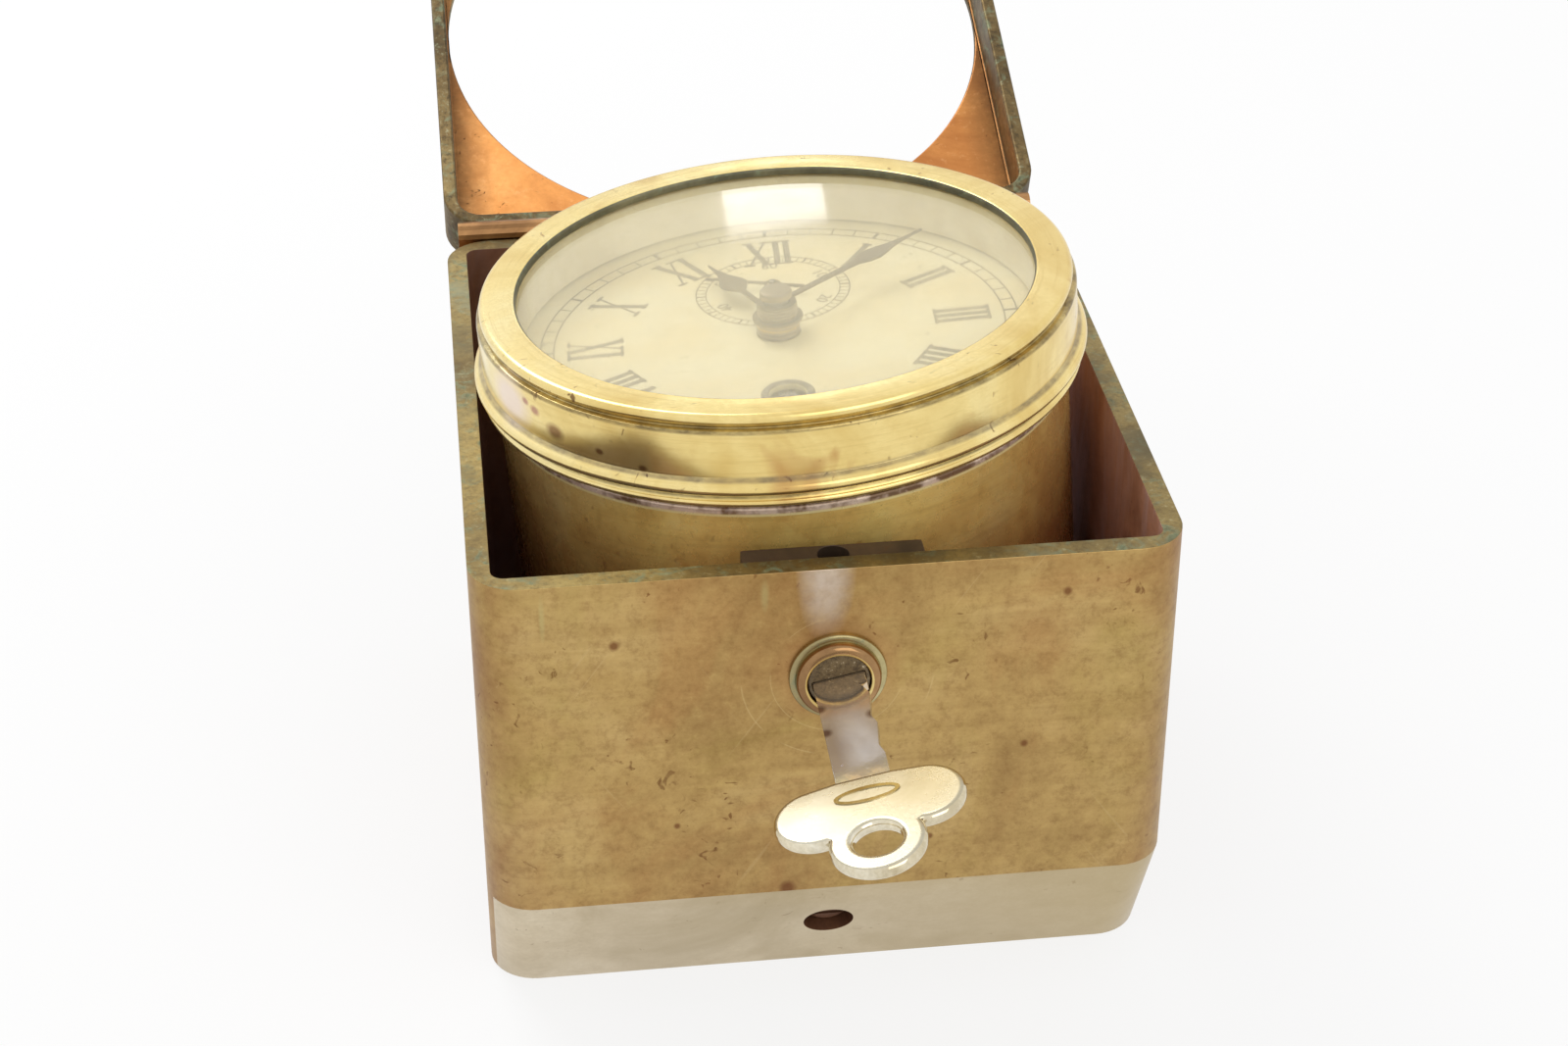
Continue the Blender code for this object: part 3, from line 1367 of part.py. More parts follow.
def click(bench):
    """The pawl beside the ratchet, its screw and its spring, on the front plate."""
    low = ratchet_low()
    nose = step_from(BARREL, RATCHET_RADIUS + GAP + CLICK_NOSE, CLICK_NOSE_SHARE)
    way = bearing(CLICK, nose)
    hub = arc(CENTRE, CLICK_HUB, way + 1 / 4, way + 3 / 4, 8)
    tip_x, tip_y = nose[0] - CLICK[0], nose[1] - CLICK[1]
    tip = arc((tip_x, tip_y), CLICK_NOSE, way - 1 / 4, way + 1 / 4, 3)
    outlines = [hub + tip, ring_of(CLICK_STUD + GAP, FINE_STEPS)]
    flat_curve(bench, "click", outlines, low, low + RATCHET_THICK, "steel", at(*CLICK), True)
    head = low + RATCHET_THICK + GAP
    profile = [
        (0, head + CLICK_HEAD_THICK),
        (CLICK_HEAD, head + CLICK_HEAD_THICK),
        (CLICK_HEAD, head),
        (CLICK_STUD, head),
        (CLICK_STUD, FRONT_PLATE + GAP),
        (0, FRONT_PLATE + GAP),
    ]
    turned(bench, "click_screw", profile, "steel", at(*CLICK), True, steps=FINE_STEPS)
    click_spring(bench, way)


def click_spring(bench, way):
    """A thin blade that lies along the click's outer side, with its foot on the plate."""
    low = ratchet_low()
    outward = way + 1 / 4
    start = step_from(CLICK, CLICK_HUB + GAP + CLICK_SPRING_WIDE / 2, outward)
    mid = step_from(start, CLICK_SPRING_LONG / 2 - CLICK_HUB, way + 1 / 2)
    blade = block_mesh("click_spring", CLICK_SPRING_LONG, CLICK_SPRING_WIDE, low, low + RATCHET_THICK)
    place = at(*mid) @ Matrix.Rotation(2 * math.pi * way, 4, "Z")
    spring = bench.add("click_spring", blade, "steel", place, True)
    foot = step_from(mid, CLICK_SPRING_LONG / 2, way + 1 / 2)
    stud_foot = FRONT_PLATE + PLATE_THICK + GAP
    stud_top = low + RATCHET_THICK + GAP
    stud = rod_mesh("click_spring_stud", CLICK_SPRING_STUD, stud_foot, stud_top)
    bench.fuse(spring, bench.add("click_spring_stud", stud, "steel", at(*foot), True))


# Escapement and balance


def pallet_lever(bench):
    """Anchor that spans the escape wheel, and the fork that reaches for the balance."""
    half = LEVER_ARM_WIDE / 2
    fork_end = -(BALANCE_REACH - ROLLER_RADIUS - 2 * GAP)
    outline = [
        (LEVER_HUB, half),
        (LEVER_ARM_X - half, LEVER_ARM_Y),
        (LEVER_ARM_X + half, LEVER_ARM_Y - half),
        (LEVER_HUB + LEVER_ARM_WIDE, half),
        (LEVER_HUB + LEVER_ARM_WIDE, -half),
        (LEVER_ARM_X + half, -LEVER_ARM_Y + half),
        (LEVER_ARM_X - half, -LEVER_ARM_Y),
        (LEVER_HUB, -half),
        (0, -LEVER_HUB),
        (-LEVER_HUB, -half),
        (fork_end, -FORK_WIDE / 2),
        (fork_end, -FORK_SLOT / 2),
        (fork_end + FORK_SLOT, -FORK_SLOT / 2),
        (fork_end + FORK_SLOT, FORK_SLOT / 2),
        (fork_end, FORK_SLOT / 2),
        (fork_end, FORK_WIDE / 2),
        (-LEVER_HUB, half),
        (0, LEVER_HUB),
    ]
    outlines = [turned_flat(outline, bearing(PALLET, ESCAPE))]
    top = ESCAPE_LEVEL + LEVER_THICK
    flat = flat_curve(bench, "pallet_lever", outlines, ESCAPE_LEVEL, top, "steel", at(*PALLET), True)
    lever = as_mesh(bench, flat)
    shaft = arbor(bench, "pallet_arbor", PALLET)
    bench.fuse(lever, shaft)


def balance(bench):
    outlines = [ring_of(BALANCE_RADIUS, PLATE_STEPS), ring_of(ARBOR + GAP, FINE_STEPS)]
    outlines += windows(ARBOR + HUB_WALL, BALANCE_RADIUS - BALANCE_RIM, 2, BALANCE_SPOKE, 1 / 8)
    high = BALANCE_LEVEL + BALANCE_THICK
    flat_curve(bench, "balance_wheel", outlines, BALANCE_LEVEL, high, "bright_brass", at(*BALANCE), True)
    staff = arbor(bench, "balance_staff", BALANCE)
    roller = rod_mesh("roller", ROLLER_RADIUS, ESCAPE_LEVEL, ESCAPE_LEVEL + ROLLER_THICK, SMALL_STEPS)
    bench.fuse(staff, bench.add("roller", roller, "steel", at(*BALANCE), True))


def hairspring(bench):
    """Flat spiral above the balance, and the stud that holds its outer end."""
    curve = bpy.data.curves.new("hairspring", "CURVE")
    curve.dimensions = "3D"
    curve.bevel_depth = HAIRSPRING_WIRE
    curve.bevel_resolution = 0
    curve.use_fill_caps = True
    count = HAIRSPRING_TURNS * SPRING_STEPS
    spline = curve.splines.new("POLY")
    spline.points.add(count)
    growth = HAIRSPRING_OUTER - HAIRSPRING_INNER
    for index, point in enumerate(spline.points):
        x, y = polar(HAIRSPRING_INNER + growth * index / count, index / SPRING_STEPS)
        point.co = (x, y, 0, 1)
    bench.add("hairspring", curve, "blued_steel", at(*BALANCE, HAIRSPRING_LEVEL), True)
    stud = step_from(BALANCE, HAIRSPRING_OUTER + HAIRSPRING_WIRE + GAP + STUD_RADIUS, 0)
    low = HAIRSPRING_LEVEL - STUD_RADIUS
    rod = rod_mesh("hairspring_stud", STUD_RADIUS, low, FRONT_PLATE - GAP, FINE_STEPS)
    bench.add("hairspring_stud", rod, "bright_brass", at(*stud), True)


# Motion work and hands


def pipe_profile(bore, radius, low, top, flange, flange_top):
    """A pipe with one flange under the hand that it carries."""
    return [
        (bore, top),
        (radius, top),
        (radius, flange_top),
        (flange, flange_top),
        (flange, flange_top - FLANGE_THICK),
        (radius, flange_top - FLANGE_THICK),
        (radius, low),
        (bore, low),
    ]


def motion_phases():
    way = bearing(CENTRE, MINUTE)
    wheel_phase = meshed(0.0, CANNON_LEAVES, MINUTE_TEETH, way)
    return {"minute": wheel_phase, "hour": meshed(0.0, MINUTE_LEAVES, HOUR_TEETH, way + 1 / 2)}


def cannon(bench):
    bore = PIVOT * 2 + GAP
    profile = pipe_profile(bore, CANNON_PIPE, CANNON_FOOT, CANNON_TOP, CANNON_FLANGE, CANNON_FLANGE_TOP)
    pipe = turned(bench, "cannon_pinion", profile, "steel", at(), True, steps=SMALL_STEPS, loop=True)
    outline = tooth_outline(CANNON_LEAVES, MOTION_MODULE, 0.0, PINION_FLANK_SHARES)
    outlines = [outline, ring_of((bore + CANNON_PIPE) / 2, FINE_STEPS)]
    high = MOTION_LEVEL + MOTION_THICK + GAP
    teeth = flat_curve(bench, "cannon_teeth", outlines, MOTION_LEVEL - GAP, high, "steel", at(), True)
    bench.fuse(pipe, as_mesh(bench, teeth))


def minute_work(bench):
    """Intermediate wheel and its pinion, in one piece, on their post."""
    phases = motion_phases()
    spot = at(*MINUTE)
    bore = ring_of(MINUTE_POST + GAP, FINE_STEPS)
    outline = tooth_outline(MINUTE_TEETH, MOTION_MODULE, phases["minute"], WHEEL_FLANK_SHARES)
    top = MOTION_LEVEL + MOTION_THICK
    disc = flat_curve(bench, "minute_wheel", [outline, bore], MOTION_LEVEL, top, "bright_brass", spot, True)
    outline = tooth_outline(MINUTE_LEAVES, HOUR_MODULE, 0.0, PINION_FLANK_SHARES)
    wider = ring_of(MINUTE_POST + GAP + OVER / 1e3, FINE_STEPS)
    high = HOUR_LEVEL + MOTION_THICK + GAP
    leaves = flat_curve(bench, "minute_leaves", [outline, wider], top - GAP, high, "steel", spot, True)
    bench.fuse(as_mesh(bench, disc), as_mesh(bench, leaves))
    post = rod_mesh("minute_post", MINUTE_POST, FRONT_PLATE + GAP, high + GAP, FINE_STEPS)
    bench.add("minute_post", post, "steel", spot, True)


def hour_work(bench):
    bore = CANNON_PIPE + GAP
    low = MOTION_LEVEL + MOTION_THICK + 2 * GAP
    profile = pipe_profile(bore, HOUR_PIPE, low, HOUR_TOP, HOUR_FLANGE, HOUR_FLANGE_TOP)
    pipe = turned(bench, "hour_wheel", profile, "bright_brass", at(), True, steps=SMALL_STEPS, loop=True)
    outline = tooth_outline(HOUR_TEETH, HOUR_MODULE, motion_phases()["hour"], WHEEL_FLANK_SHARES)
    outlines = [outline, ring_of((bore + HOUR_PIPE) / 2, SMALL_STEPS)]
    high = HOUR_LEVEL + MOTION_THICK
    teeth = flat_curve(bench, "hour_teeth", outlines, HOUR_LEVEL, high, "bright_brass", at(), True)
    bench.fuse(pipe, as_mesh(bench, teeth))


def spade_half(length, wide, boss):
    """Half of a spade hand along +X, as shares of its length and of the spade's width."""
    root = math.sqrt(boss**2 - HAND_SPINE**2)
    rows = ((0.60, 0.22), (0.63, 0.55), (0.69, 0.95), (0.74, 0.80), (0.79, 0.42), (0.84, 0.22))
    half = [(root, HAND_SPINE), (length * 0.57, HAND_SPINE)]
    half += [(length * along, wide * across) for along, across in rows]
    return half + [(length, HAND_POINT)]


def hand(bench, name, length, wide, bore, low, share):
    """A hand with its boss, turned to the time it shows."""
    boss = bore + GAP + HAND_BOSS_WALL
    half = spade_half(length, wide, boss)
    root = math.atan2(HAND_SPINE, half[0][0]) / (2 * math.pi)
    outline = half + [(x, -y) for x, y in reversed(half)] + arc(CENTRE, boss, 1 - root, root, 14)[1:-1]
    way = clock_way(share)
    outlines = [turned_flat(outline, way), ring_of(bore + GAP, SMALL_STEPS)]
    flat_curve(bench, name, outlines, low, low + HAND_THICK, "blued_steel", at(), True)


def hands(bench):
    hand(bench, "hour_hand", HOUR_HAND, SPADE_WIDE, HOUR_PIPE, HOUR_FLANGE_TOP + GAP, HOUR_TIME_SHARE)
    low = CANNON_FLANGE_TOP + GAP
    hand(bench, "minute_hand", MINUTE_HAND, SPADE_WIDE, CANNON_PIPE, low, MINUTE_TIME_SHARE)
    seconds_hand(bench)
    profile = [
        (0, NUT_TOP),
        (NUT_RADIUS - NUT_CHAMFER, NUT_TOP),
        (NUT_RADIUS, NUT_TOP - NUT_CHAMFER),
        (NUT_RADIUS, NUT_FOOT),
        (PIVOT * 2 + GAP, NUT_FOOT),
        (PIVOT * 2 + GAP, NUT_TOP - NUT_ROOF),
        (0, NUT_TOP - NUT_ROOF),
    ]
    turned(bench, "hand_nut", profile, "bright_brass", at(), True, steps=SMALL_STEPS)


def seconds_hand(bench):
    """Thin hand on the fourth arbor, with a short tail."""
    boss = SECONDS_ARBOR + GAP + HAND_SPINE
    near = math.asin(HAND_POINT * 2 / boss) / (2 * math.pi)
    half_tail = HAND_SPINE * TAIL_SHARE
    tail = [(-SECONDS_TAIL, half_tail), (-SECONDS_TAIL, -half_tail)]
    tip = [(SECONDS_HAND, -HAND_POINT), (SECONDS_HAND, HAND_POINT)]
    upper = arc(CENTRE, boss, near, 1 / 2 - near, BOSS_STEPS)
    lower = arc(CENTRE, boss, 1 / 2 + near, 1 - near, BOSS_STEPS)
    outline = tip + upper + tail + lower
    way = clock_way(SECONDS_TIME_SHARE)
    outlines = [turned_flat(outline, way), ring_of(SECONDS_ARBOR + GAP, FINE_STEPS)]
    high = SECONDS_LEVEL + HAND_THICK * SECONDS_THICK_SHARE
    flat_curve(bench, "seconds_hand", outlines, SECONDS_LEVEL, high, "blued_steel", at(*FOURTH), True)


# Plates


def plate(bench, name, low, holes):
    outlines = [ring_of(PLATE_RADIUS, PLATE_STEPS)]
    outlines += [ring_of(radius, HOLE_STEPS, place) for place, radius in holes]
    return flat_curve(bench, name, outlines, low, low + PLATE_THICK, "brass", in_clock=True)


def plates(bench):
    """Front and back plates, the back one with legs that stand on the drum's floor."""
    pivots = [(place, PIVOT + GAP) for place in (THIRD, ESCAPE, PALLET, BALANCE)]
    winding = [(BARREL, BARREL_PIVOT + GAP)]
    holes = pivots + winding + [(CENTRE, PIVOT + GAP), (FOURTH, PIVOT + GAP)]
    back = as_mesh(bench, plate(bench, "back_plate", BACK_PLATE, holes))
    floor, high = DRUM_BOTTOM + DRUM_FLOOR + GAP, BACK_PLATE + PLATE_THICK / 2
    bench.fuse(back, *rods_on_ring(bench, "leg", POST_RING, POST_SHARES, POST_RADIUS, floor, high, "brass"))
    front = pivots + winding + [(CENTRE, PIVOT * 2 + GAP), (FOURTH, SECONDS_ARBOR + GAP)]
    front += [(MINUTE, MINUTE_POST + GAP), (CLICK, CLICK_STUD + GAP)]
    plate(bench, "front_plate", FRONT_PLATE, front)


def build():
    clear_scene()
    bench = Bench()
    box_body(bench)
    base_plate(bench)
    base_screws(bench)
    seat_block(bench)
    box_leaf(bench)
    hinge_pin(bench)
    hinge_screws(bench, "box_leaf_screw", at(), box_screw_z())
    lid_shell(bench)
    lid_leaf(bench)
    hinge_screws(bench, "lid_leaf_screw", lid_pose(), lid_screw_z())
    catch_post(bench)
    lock_cylinder(bench)
    lock_case(bench)
    lock_bolt(bench)
    lock_plug(bench)
    key(bench)
    drum_case(bench)
    bezel(bench)
    glass(bench)
    glass_ring(bench)
    dial(bench)
    plate_pillars(bench)
    plates(bench)
    going_train(bench)
    barrel(bench)
    barrel_cap(bench)
    mainspring(bench)
    winding_arbor(bench)
    ratchet_wheel(bench)
    click(bench)
    pallet_lever(bench)
    balance(bench)
    hairspring(bench)
    cannon(bench)
    minute_work(bench)
    hour_work(bench)
    hands(bench)


build()
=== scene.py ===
"""Looks of the ships clock: aged brass box and clock, printed dial under glass, flat key in the lock."""

import math

import bmesh
import bpy
from mathutils import Matrix, Vector


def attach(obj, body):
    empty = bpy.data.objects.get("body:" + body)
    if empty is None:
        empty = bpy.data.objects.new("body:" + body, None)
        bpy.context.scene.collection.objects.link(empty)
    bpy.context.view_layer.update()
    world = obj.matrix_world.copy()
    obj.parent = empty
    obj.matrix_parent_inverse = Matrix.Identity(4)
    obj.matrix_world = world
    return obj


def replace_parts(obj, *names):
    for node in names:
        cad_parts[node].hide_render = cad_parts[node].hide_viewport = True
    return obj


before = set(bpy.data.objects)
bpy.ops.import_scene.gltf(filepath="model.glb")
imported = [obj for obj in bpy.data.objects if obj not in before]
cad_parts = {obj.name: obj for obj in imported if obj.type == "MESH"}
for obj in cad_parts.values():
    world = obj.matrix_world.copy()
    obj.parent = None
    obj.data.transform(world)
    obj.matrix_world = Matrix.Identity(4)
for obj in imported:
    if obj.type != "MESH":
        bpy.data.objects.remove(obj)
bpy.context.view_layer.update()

MM = 0.001

# Box, lid and hinge
BOX_WIDTH = 98.0 * MM
BOX_DEPTH = 105.0 * MM
BOX_HEIGHT = 76.0 * MM
BOX_WALL = 3.1 * MM
BOX_CORNER = 6.9 * MM
BOX_INNER_CORNER = 1.8 * MM
INNER_WIDTH = BOX_WIDTH - 2 * BOX_WALL
INNER_DEPTH = BOX_DEPTH - 2 * BOX_WALL
BASE_TOP = 3.6 * MM
SOLDER_WIDTH = 0.5 * MM
SOLDER_DEEP = 0.4 * MM
SOLDER_HIGH = 0.15 * MM
FOOT_RISE = 22.0 * MM
FOOT_RUN = 11.3 * MM
JOINT_GAP = 0.3 * MM
HINGE_SETBACK = 2.3 * MM
LID_OPEN = math.radians(159.1)
LID_WALL = 2.2 * MM
LID_INNER_CORNER = 4.0 * MM
LID_INSIDE = 7.4 * MM
LID_PLATE = 1.6 * MM
WINDOW_RADIUS = 46.4 * MM
WINDOW_Y = 1.4 * MM

# Screws in the foot
SCREW_X = 0.3 * MM
SCREW_Z = 11.7 * MM
REAR_SCREW_Z = 9.0 * MM
SCREW_HOLE = 3.65 * MM

# How the clock stands
CLOCK_PLACE = (4.35 * MM, -0.63 * MM, 8.0 * MM)
LEAN_LEFT = math.radians(4.07)
LEAN_BACK = math.radians(1.65)
DIAL_TURN = math.radians(3.0)

# Drum and bezel, heights up the clock's own axis
DRUM_BOTTOM = 24.0 * MM
DRUM_SHOULDER = 70.4 * MM
DRUM_RADIUS = 42.4 * MM
DRUM_BORE = 39.7 * MM
DRUM_FLOOR = 1.5 * MM
NECK_RADIUS = 40.9 * MM
NECK_TOP = 73.9 * MM
BEZEL_FOOT = 71.4 * MM
BEZEL_TOP = 85.2 * MM
BEZEL_OPENING = 38.0 * MM
BEZEL_RIM = 43.45 * MM
BEZEL_BAND = 44.0 * MM
BEZEL_BEAD = 45.3 * MM
BEZEL_SKIRT_BORE = 41.7 * MM
BEZEL_SKIRT = 5.0 * MM
BEZEL_SEAT = 6.5 * MM
BEZEL_BORE = 40.2 * MM
BEZEL_LIP = 1.2 * MM
GLASS_TOP = 83.7 * MM
GLASS_THICK = 1.1 * MM
GLASS_ROUND = 0.3 * MM
RING_FOOT = 75.4 * MM

# Dial and hands
DIAL_LOW = 74.2 * MM
DIAL_TOP = 75.0 * MM
DIAL_RADIUS = 40.6 * MM
DIAL_FEET = 33.5 * MM
FOOT_RADIUS = 1.2 * MM
FOOT_LOW = 67.8 * MM
CENTRE_HOLE = 3.3 * MM
SECONDS_HOLE = 1.0 * MM
WINDING_HOLE = 2.7 * MM
INK_HIGH = 0.04 * MM
INK = (DIAL_TOP - INK_HIGH / 2, DIAL_TOP + INK_HIGH)
NUMERAL_FOOT = 23.0 * MM
NUMERAL_HIGH = 8.4 * MM
TRACK_INNER = 33.4 * MM
TRACK_OUTER = 35.4 * MM
SECONDS_REACH = 14.0 * MM
SECONDS_TRACK = 11.7 * MM
SECONDS_BAND = 1.5 * MM
FIGURE_HIGH = 2.6 * MM
FIGURE_DROP = 3.2 * MM
WINDING_REACH = 19.5 * MM
HOUR_LEVEL = 77.4 * MM
MINUTE_LEVEL = 79.6 * MM
SECONDS_LEVEL = 76.0 * MM
HAND_THICK = 0.4 * MM
NEEDLE_THICK = 0.28 * MM
NEEDLE_LENGTH = 10.6 * MM
NEEDLE_TAIL = 5.0 * MM
NEEDLE_BOSS = 1.25 * MM
NUT_LOW = 80.9 * MM
NUT_TOP = 82.0 * MM
NUT_RADIUS = 2.4 * MM
NUT_BORE = 1.2 * MM
HOUR_SHARE = (11 + 8.2 / 60) / 12
MINUTE_SHARE = 8.2 / 60
SECONDS_SHARE = 48.5 / 60

# Lock and key
CASE_WIDTH = 25.0 * MM
CASE_THICK = 4.7 * MM
CASE_TOP = 74.9 * MM
CASE_FOOT = 48.3 * MM
CATCH_Y = -47.0 * MM
CATCH_HOLE = 2.2 * MM
CATCH_DEEP = 11.0 * MM
BOLT_LEVEL = 68.6 * MM
BOLT_ROOM = (2.4 * MM, 3.6 * MM)
BOLT_RUN = CASE_WIDTH / 2 + 2 * MM
CYLINDER_ROOM = 5.8 * MM
LOCK_PLACE = (0.5 * MM, -BOX_DEPTH / 2, 58.9 * MM)
LOCK_FLANGE = 6.8 * MM
LOCK_DOME = 5.9 * MM
LOCK_DOME_HIGH = 2.3 * MM
LOCK_BODY = 5.5 * MM
LOCK_DEEP = 7.3 * MM
LOCK_BORE = 4.42 * MM
PLUG_RADIUS = 4.3 * MM
PLUG_FACE = 1.7 * MM
PLUG_DEEP = 6.0 * MM
KEYWAY_DEEP = 6.4 * MM
KEY_DEEP = 6.1 * MM
KEY_TURN = math.radians(12.0)
KEY_WIDE = 7.3 * MM
KEY_THICK = 1.3 * MM
BOW_START = 24.6 * MM
BOW_WIDE = 25.4 * MM
BOW_THICK = 2.0 * MM
BOW_ROLL = 0.8 * MM
BOW_END = 44.3 * MM
BOW_LOBE = 5.6 * MM
EYE_RING = 6.4 * MM
EYE = 3.2 * MM
OVAL_Y = 28.8 * MM
OVAL_OUTER = (4.4 * MM, 1.6 * MM)
OVAL_INNER = (3.784 * MM, 1.024 * MM)
OVAL_HIGH = 0.14 * MM

# Worn edges: the least angle that counts as an edge, in degrees, and their widths
EDGE_ANGLE = 28
BOX_EDGE = 0.22 * MM
LID_EDGE = 0.3 * MM
LOCK_EDGE = 0.12 * MM
BLADE_EDGE = 0.08 * MM
HAND_EDGE = 0.06 * MM

# Steps round a turning, how far a cutter overruns, how near to a surface counts as on it, and
# the distance under which two points are one
ROUND = 144
FINE = 48
OVER = 1.0 * MM
NEAR = 0.01 * MM
TINY = MM / 1e4

# Camera, fitted to the corners of the box, the lid, the bezel and the lock
CAMERA_PLACE = (-48.38 * MM, -390.26 * MM, 293.02 * MM)
CAMERA_TURN = -0.12217
CAMERA_DIP = 0.55133
CAMERA_LENS = 69.32
CAMERA_SENSOR = 36.0

# Lamps: name, place, width, height and power, all aimed at one height over the table
LAMPS = (
    ("window_light", (-0.35, 0.55, 0.75), 0.5, 0.5, 3.5),
    ("front_fill", (0.3, -0.8, 0.7), 0.7, 0.7, 2.0),
    ("window_glint", (0.045, 0.855, 0.434), 0.045, 0.034, 0.016),
)
LAMP_AIM = 0.05
TABLE_GREY = 0.86
TABLE_GLOW = 0.8
ROOM_LIGHT = 0.75


def colour(red, green, blue):
    """A colour seen on screen, from 0 to 255, as a shader's linear colour."""
    shares = [value / 255 for value in (red, green, blue)]
    linear = [s / 12.92 if s <= 0.04045 else ((s + 0.055) / 1.055) ** 2.4 for s in shares]
    return (*linear, 1.0)


def at(x=0.0, y=0.0, z=0.0):
    return Matrix.Translation((x, y, z))


def clockwise(share):
    """A turn about the upright axis, as a share of the whole."""
    return Matrix.Rotation(-2 * math.pi * share, 4, "Z")


def clock_pose():
    lean = Matrix.Rotation(-LEAN_LEFT, 4, "Y") @ Matrix.Rotation(-LEAN_BACK, 4, "X")
    return at(*CLOCK_PLACE) @ lean @ Matrix.Rotation(-DIAL_TURN, 4, "Z")


def lid_pose():
    axis = Vector((0, BOX_DEPTH / 2 + HINGE_SETBACK, BOX_HEIGHT + JOINT_GAP / 2))
    return at(*axis) @ Matrix.Rotation(-LID_OPEN, 4, "X") @ at(*-axis)


CLOCK = clock_pose()
LID = lid_pose()
LOCK = at(*LOCK_PLACE) @ Matrix.Rotation(math.pi / 2, 4, "X")
PLUG = LOCK @ Matrix.Rotation(KEY_TURN, 4, "Z")
KEY = PLUG @ Matrix.Rotation(math.pi / 2, 4, "X")


def wired(tree, kind, inputs=(), **settings):
    """A new node with its settings, each input set to a value or linked to another node's output."""
    node = tree.nodes.new(kind)
    for name, value in settings.items():
        setattr(node, name, value)
    for key, value in dict(inputs).items():
        if isinstance(value, bpy.types.NodeSocket):
            tree.links.new(value, node.inputs[key])
        else:
            node.inputs[key].default_value = value
    return node


# Materials


class Finish:
    """A material under construction: short calls for the nodes it needs."""

    def __init__(self, name, metallic=0.0, roughness=0.5):
        self.mat = bpy.data.materials.new(name)
        self.mat.use_nodes = True
        self.tree = self.mat.node_tree
        self.shader = self.tree.nodes["Principled BSDF"]
        self.shader.inputs["Metallic"].default_value = metallic
        self.shader.inputs["Roughness"].default_value = roughness
        self.place = self.node("TexCoord").outputs["Object"]

    def node(self, kind, inputs=(), **settings):
        return wired(self.tree, "ShaderNode" + kind, inputs, **settings)

    def link(self, out, name):
        self.tree.links.new(out, self.shader.inputs[name])

    def moved(self, matrix=None, stretch=(1, 1, 1)):
        """Object coordinates carried into the piece's own frame, then stretched."""
        out = self.place
        if matrix is not None:
            back = matrix.inverted()
            inputs = {"Vector": out, "Location": back.to_translation(), "Rotation": back.to_euler()}
            out = self.node("Mapping", inputs).outputs["Vector"]
        return self.node("Mapping", {"Vector": out, "Scale": stretch}).outputs["Vector"]

    def turned(self, matrix):
        """Coordinates for lathe marks: radius and height, which hardly change round the turn."""
        drift = 0.04
        x, y, z = self.node("SeparateXYZ", {0: self.moved(matrix)}).outputs
        flat = self.node("CombineXYZ", {0: x, 1: y}).outputs[0]
        radius = self.node("VectorMath", {0: flat}, operation="LENGTH").outputs["Value"]
        height = self.math("ADD", z, self.times(y, drift))
        return self.node("CombineXYZ", {0: radius, 1: self.times(x, drift), 2: height}).outputs[0]

    def noise(self, scale, detail=3.0, rough=0.55, where=None, warp=0.0):
        inputs = {"Scale": scale, "Detail": detail, "Roughness": rough, "Distortion": warp}
        return self.node("TexNoise", {**inputs, "Vector": where or self.place}).outputs["Fac"]

    def ramp(self, fac, *stops):
        """Stops of place and screen colour, or place and plain value."""
        node = self.node("ValToRGB", {"Fac": fac})
        while len(node.color_ramp.elements) < len(stops):
            node.color_ramp.elements.new(0.5)
        for element, (place, tone) in zip(node.color_ramp.elements, stops):
            element.position = place
            element.color = colour(*tone) if isinstance(tone, tuple) else (tone, tone, tone, 1.0)
        return node.outputs["Color"]

    def below(self, fac, first, last, strength=1.0):
        """A mask that is full where the value is under the first number and gone at the last."""
        return self.ramp(fac, (first, strength), (last, 0.0))

    def above(self, fac, first, last, strength=1.0):
        """A mask that starts where the value is at the first number and is full from the last."""
        return self.ramp(fac, (first, 0.0), (last, strength))

    def mix(self, fac, *tones):
        values = [colour(*tone) if isinstance(tone, tuple) else tone for tone in tones]
        return self.node("Mix", {0: fac, 6: values[0], 7: values[1]}, data_type="RGBA").outputs[2]

    def math(self, kind, *values):
        return self.node("Math", dict(enumerate(values)), operation=kind).outputs[0]

    def times(self, first, second):
        return self.math("MULTIPLY", first, second)

    def reach(self, middle, size):
        """The distance from the middle, 1 on an ellipsoid with these half sizes in millimetres."""
        inputs = {"Location": middle, "Scale": [half * MM for half in size], "Vector": self.place}
        place = self.node("Mapping", inputs, vector_type="TEXTURE").outputs["Vector"]
        return self.node("VectorMath", {0: place}, operation="LENGTH").outputs["Value"]

    def blob(self, middle, size, soft):
        """A mask inside an ellipsoid, full up to the soft share of its size."""
        return self.below(self.reach(middle, size), soft, 1.0)

    def hoop(self, middle, radius):
        """A mask on the thin skin of a ball, which draws a fine ring where it meets a wall."""
        return self.ramp(self.reach(middle, (radius,) * 3), (0.975, 0.0), (0.988, 1.0), (1.0, 0.0))

    def along(self, matrix, axis, *stops):
        """A ramp along one axis of a frame: stops of millimetres and value."""
        place = self.node("SeparateXYZ", {0: self.moved(matrix)}).outputs[axis]
        low, high = stops[0][0], stops[-1][0]
        span = self.node("MapRange", {"Value": place, "From Min": low * MM, "From Max": high * MM})
        shares = (((height - low) / (high - low), value) for height, value in stops)
        return self.ramp(span.outputs["Result"], *shares)

    def paint(self, tone):
        self.link(tone, "Base Color")

    def layer(self, mask, tone):
        """Lays a screen colour or another node's colour over the base colour, where the mask is."""
        under = self.shader.inputs["Base Color"].links[0].from_socket
        self.paint(self.mix(mask, under, tone))

    def dull(self, value):
        self.link(value, "Roughness")

    def bump(self, height, strength, deep):
        inputs = {"Strength": strength, "Distance": deep, "Height": height}
        self.link(self.node("Bump", inputs).outputs["Normal"], "Normal")

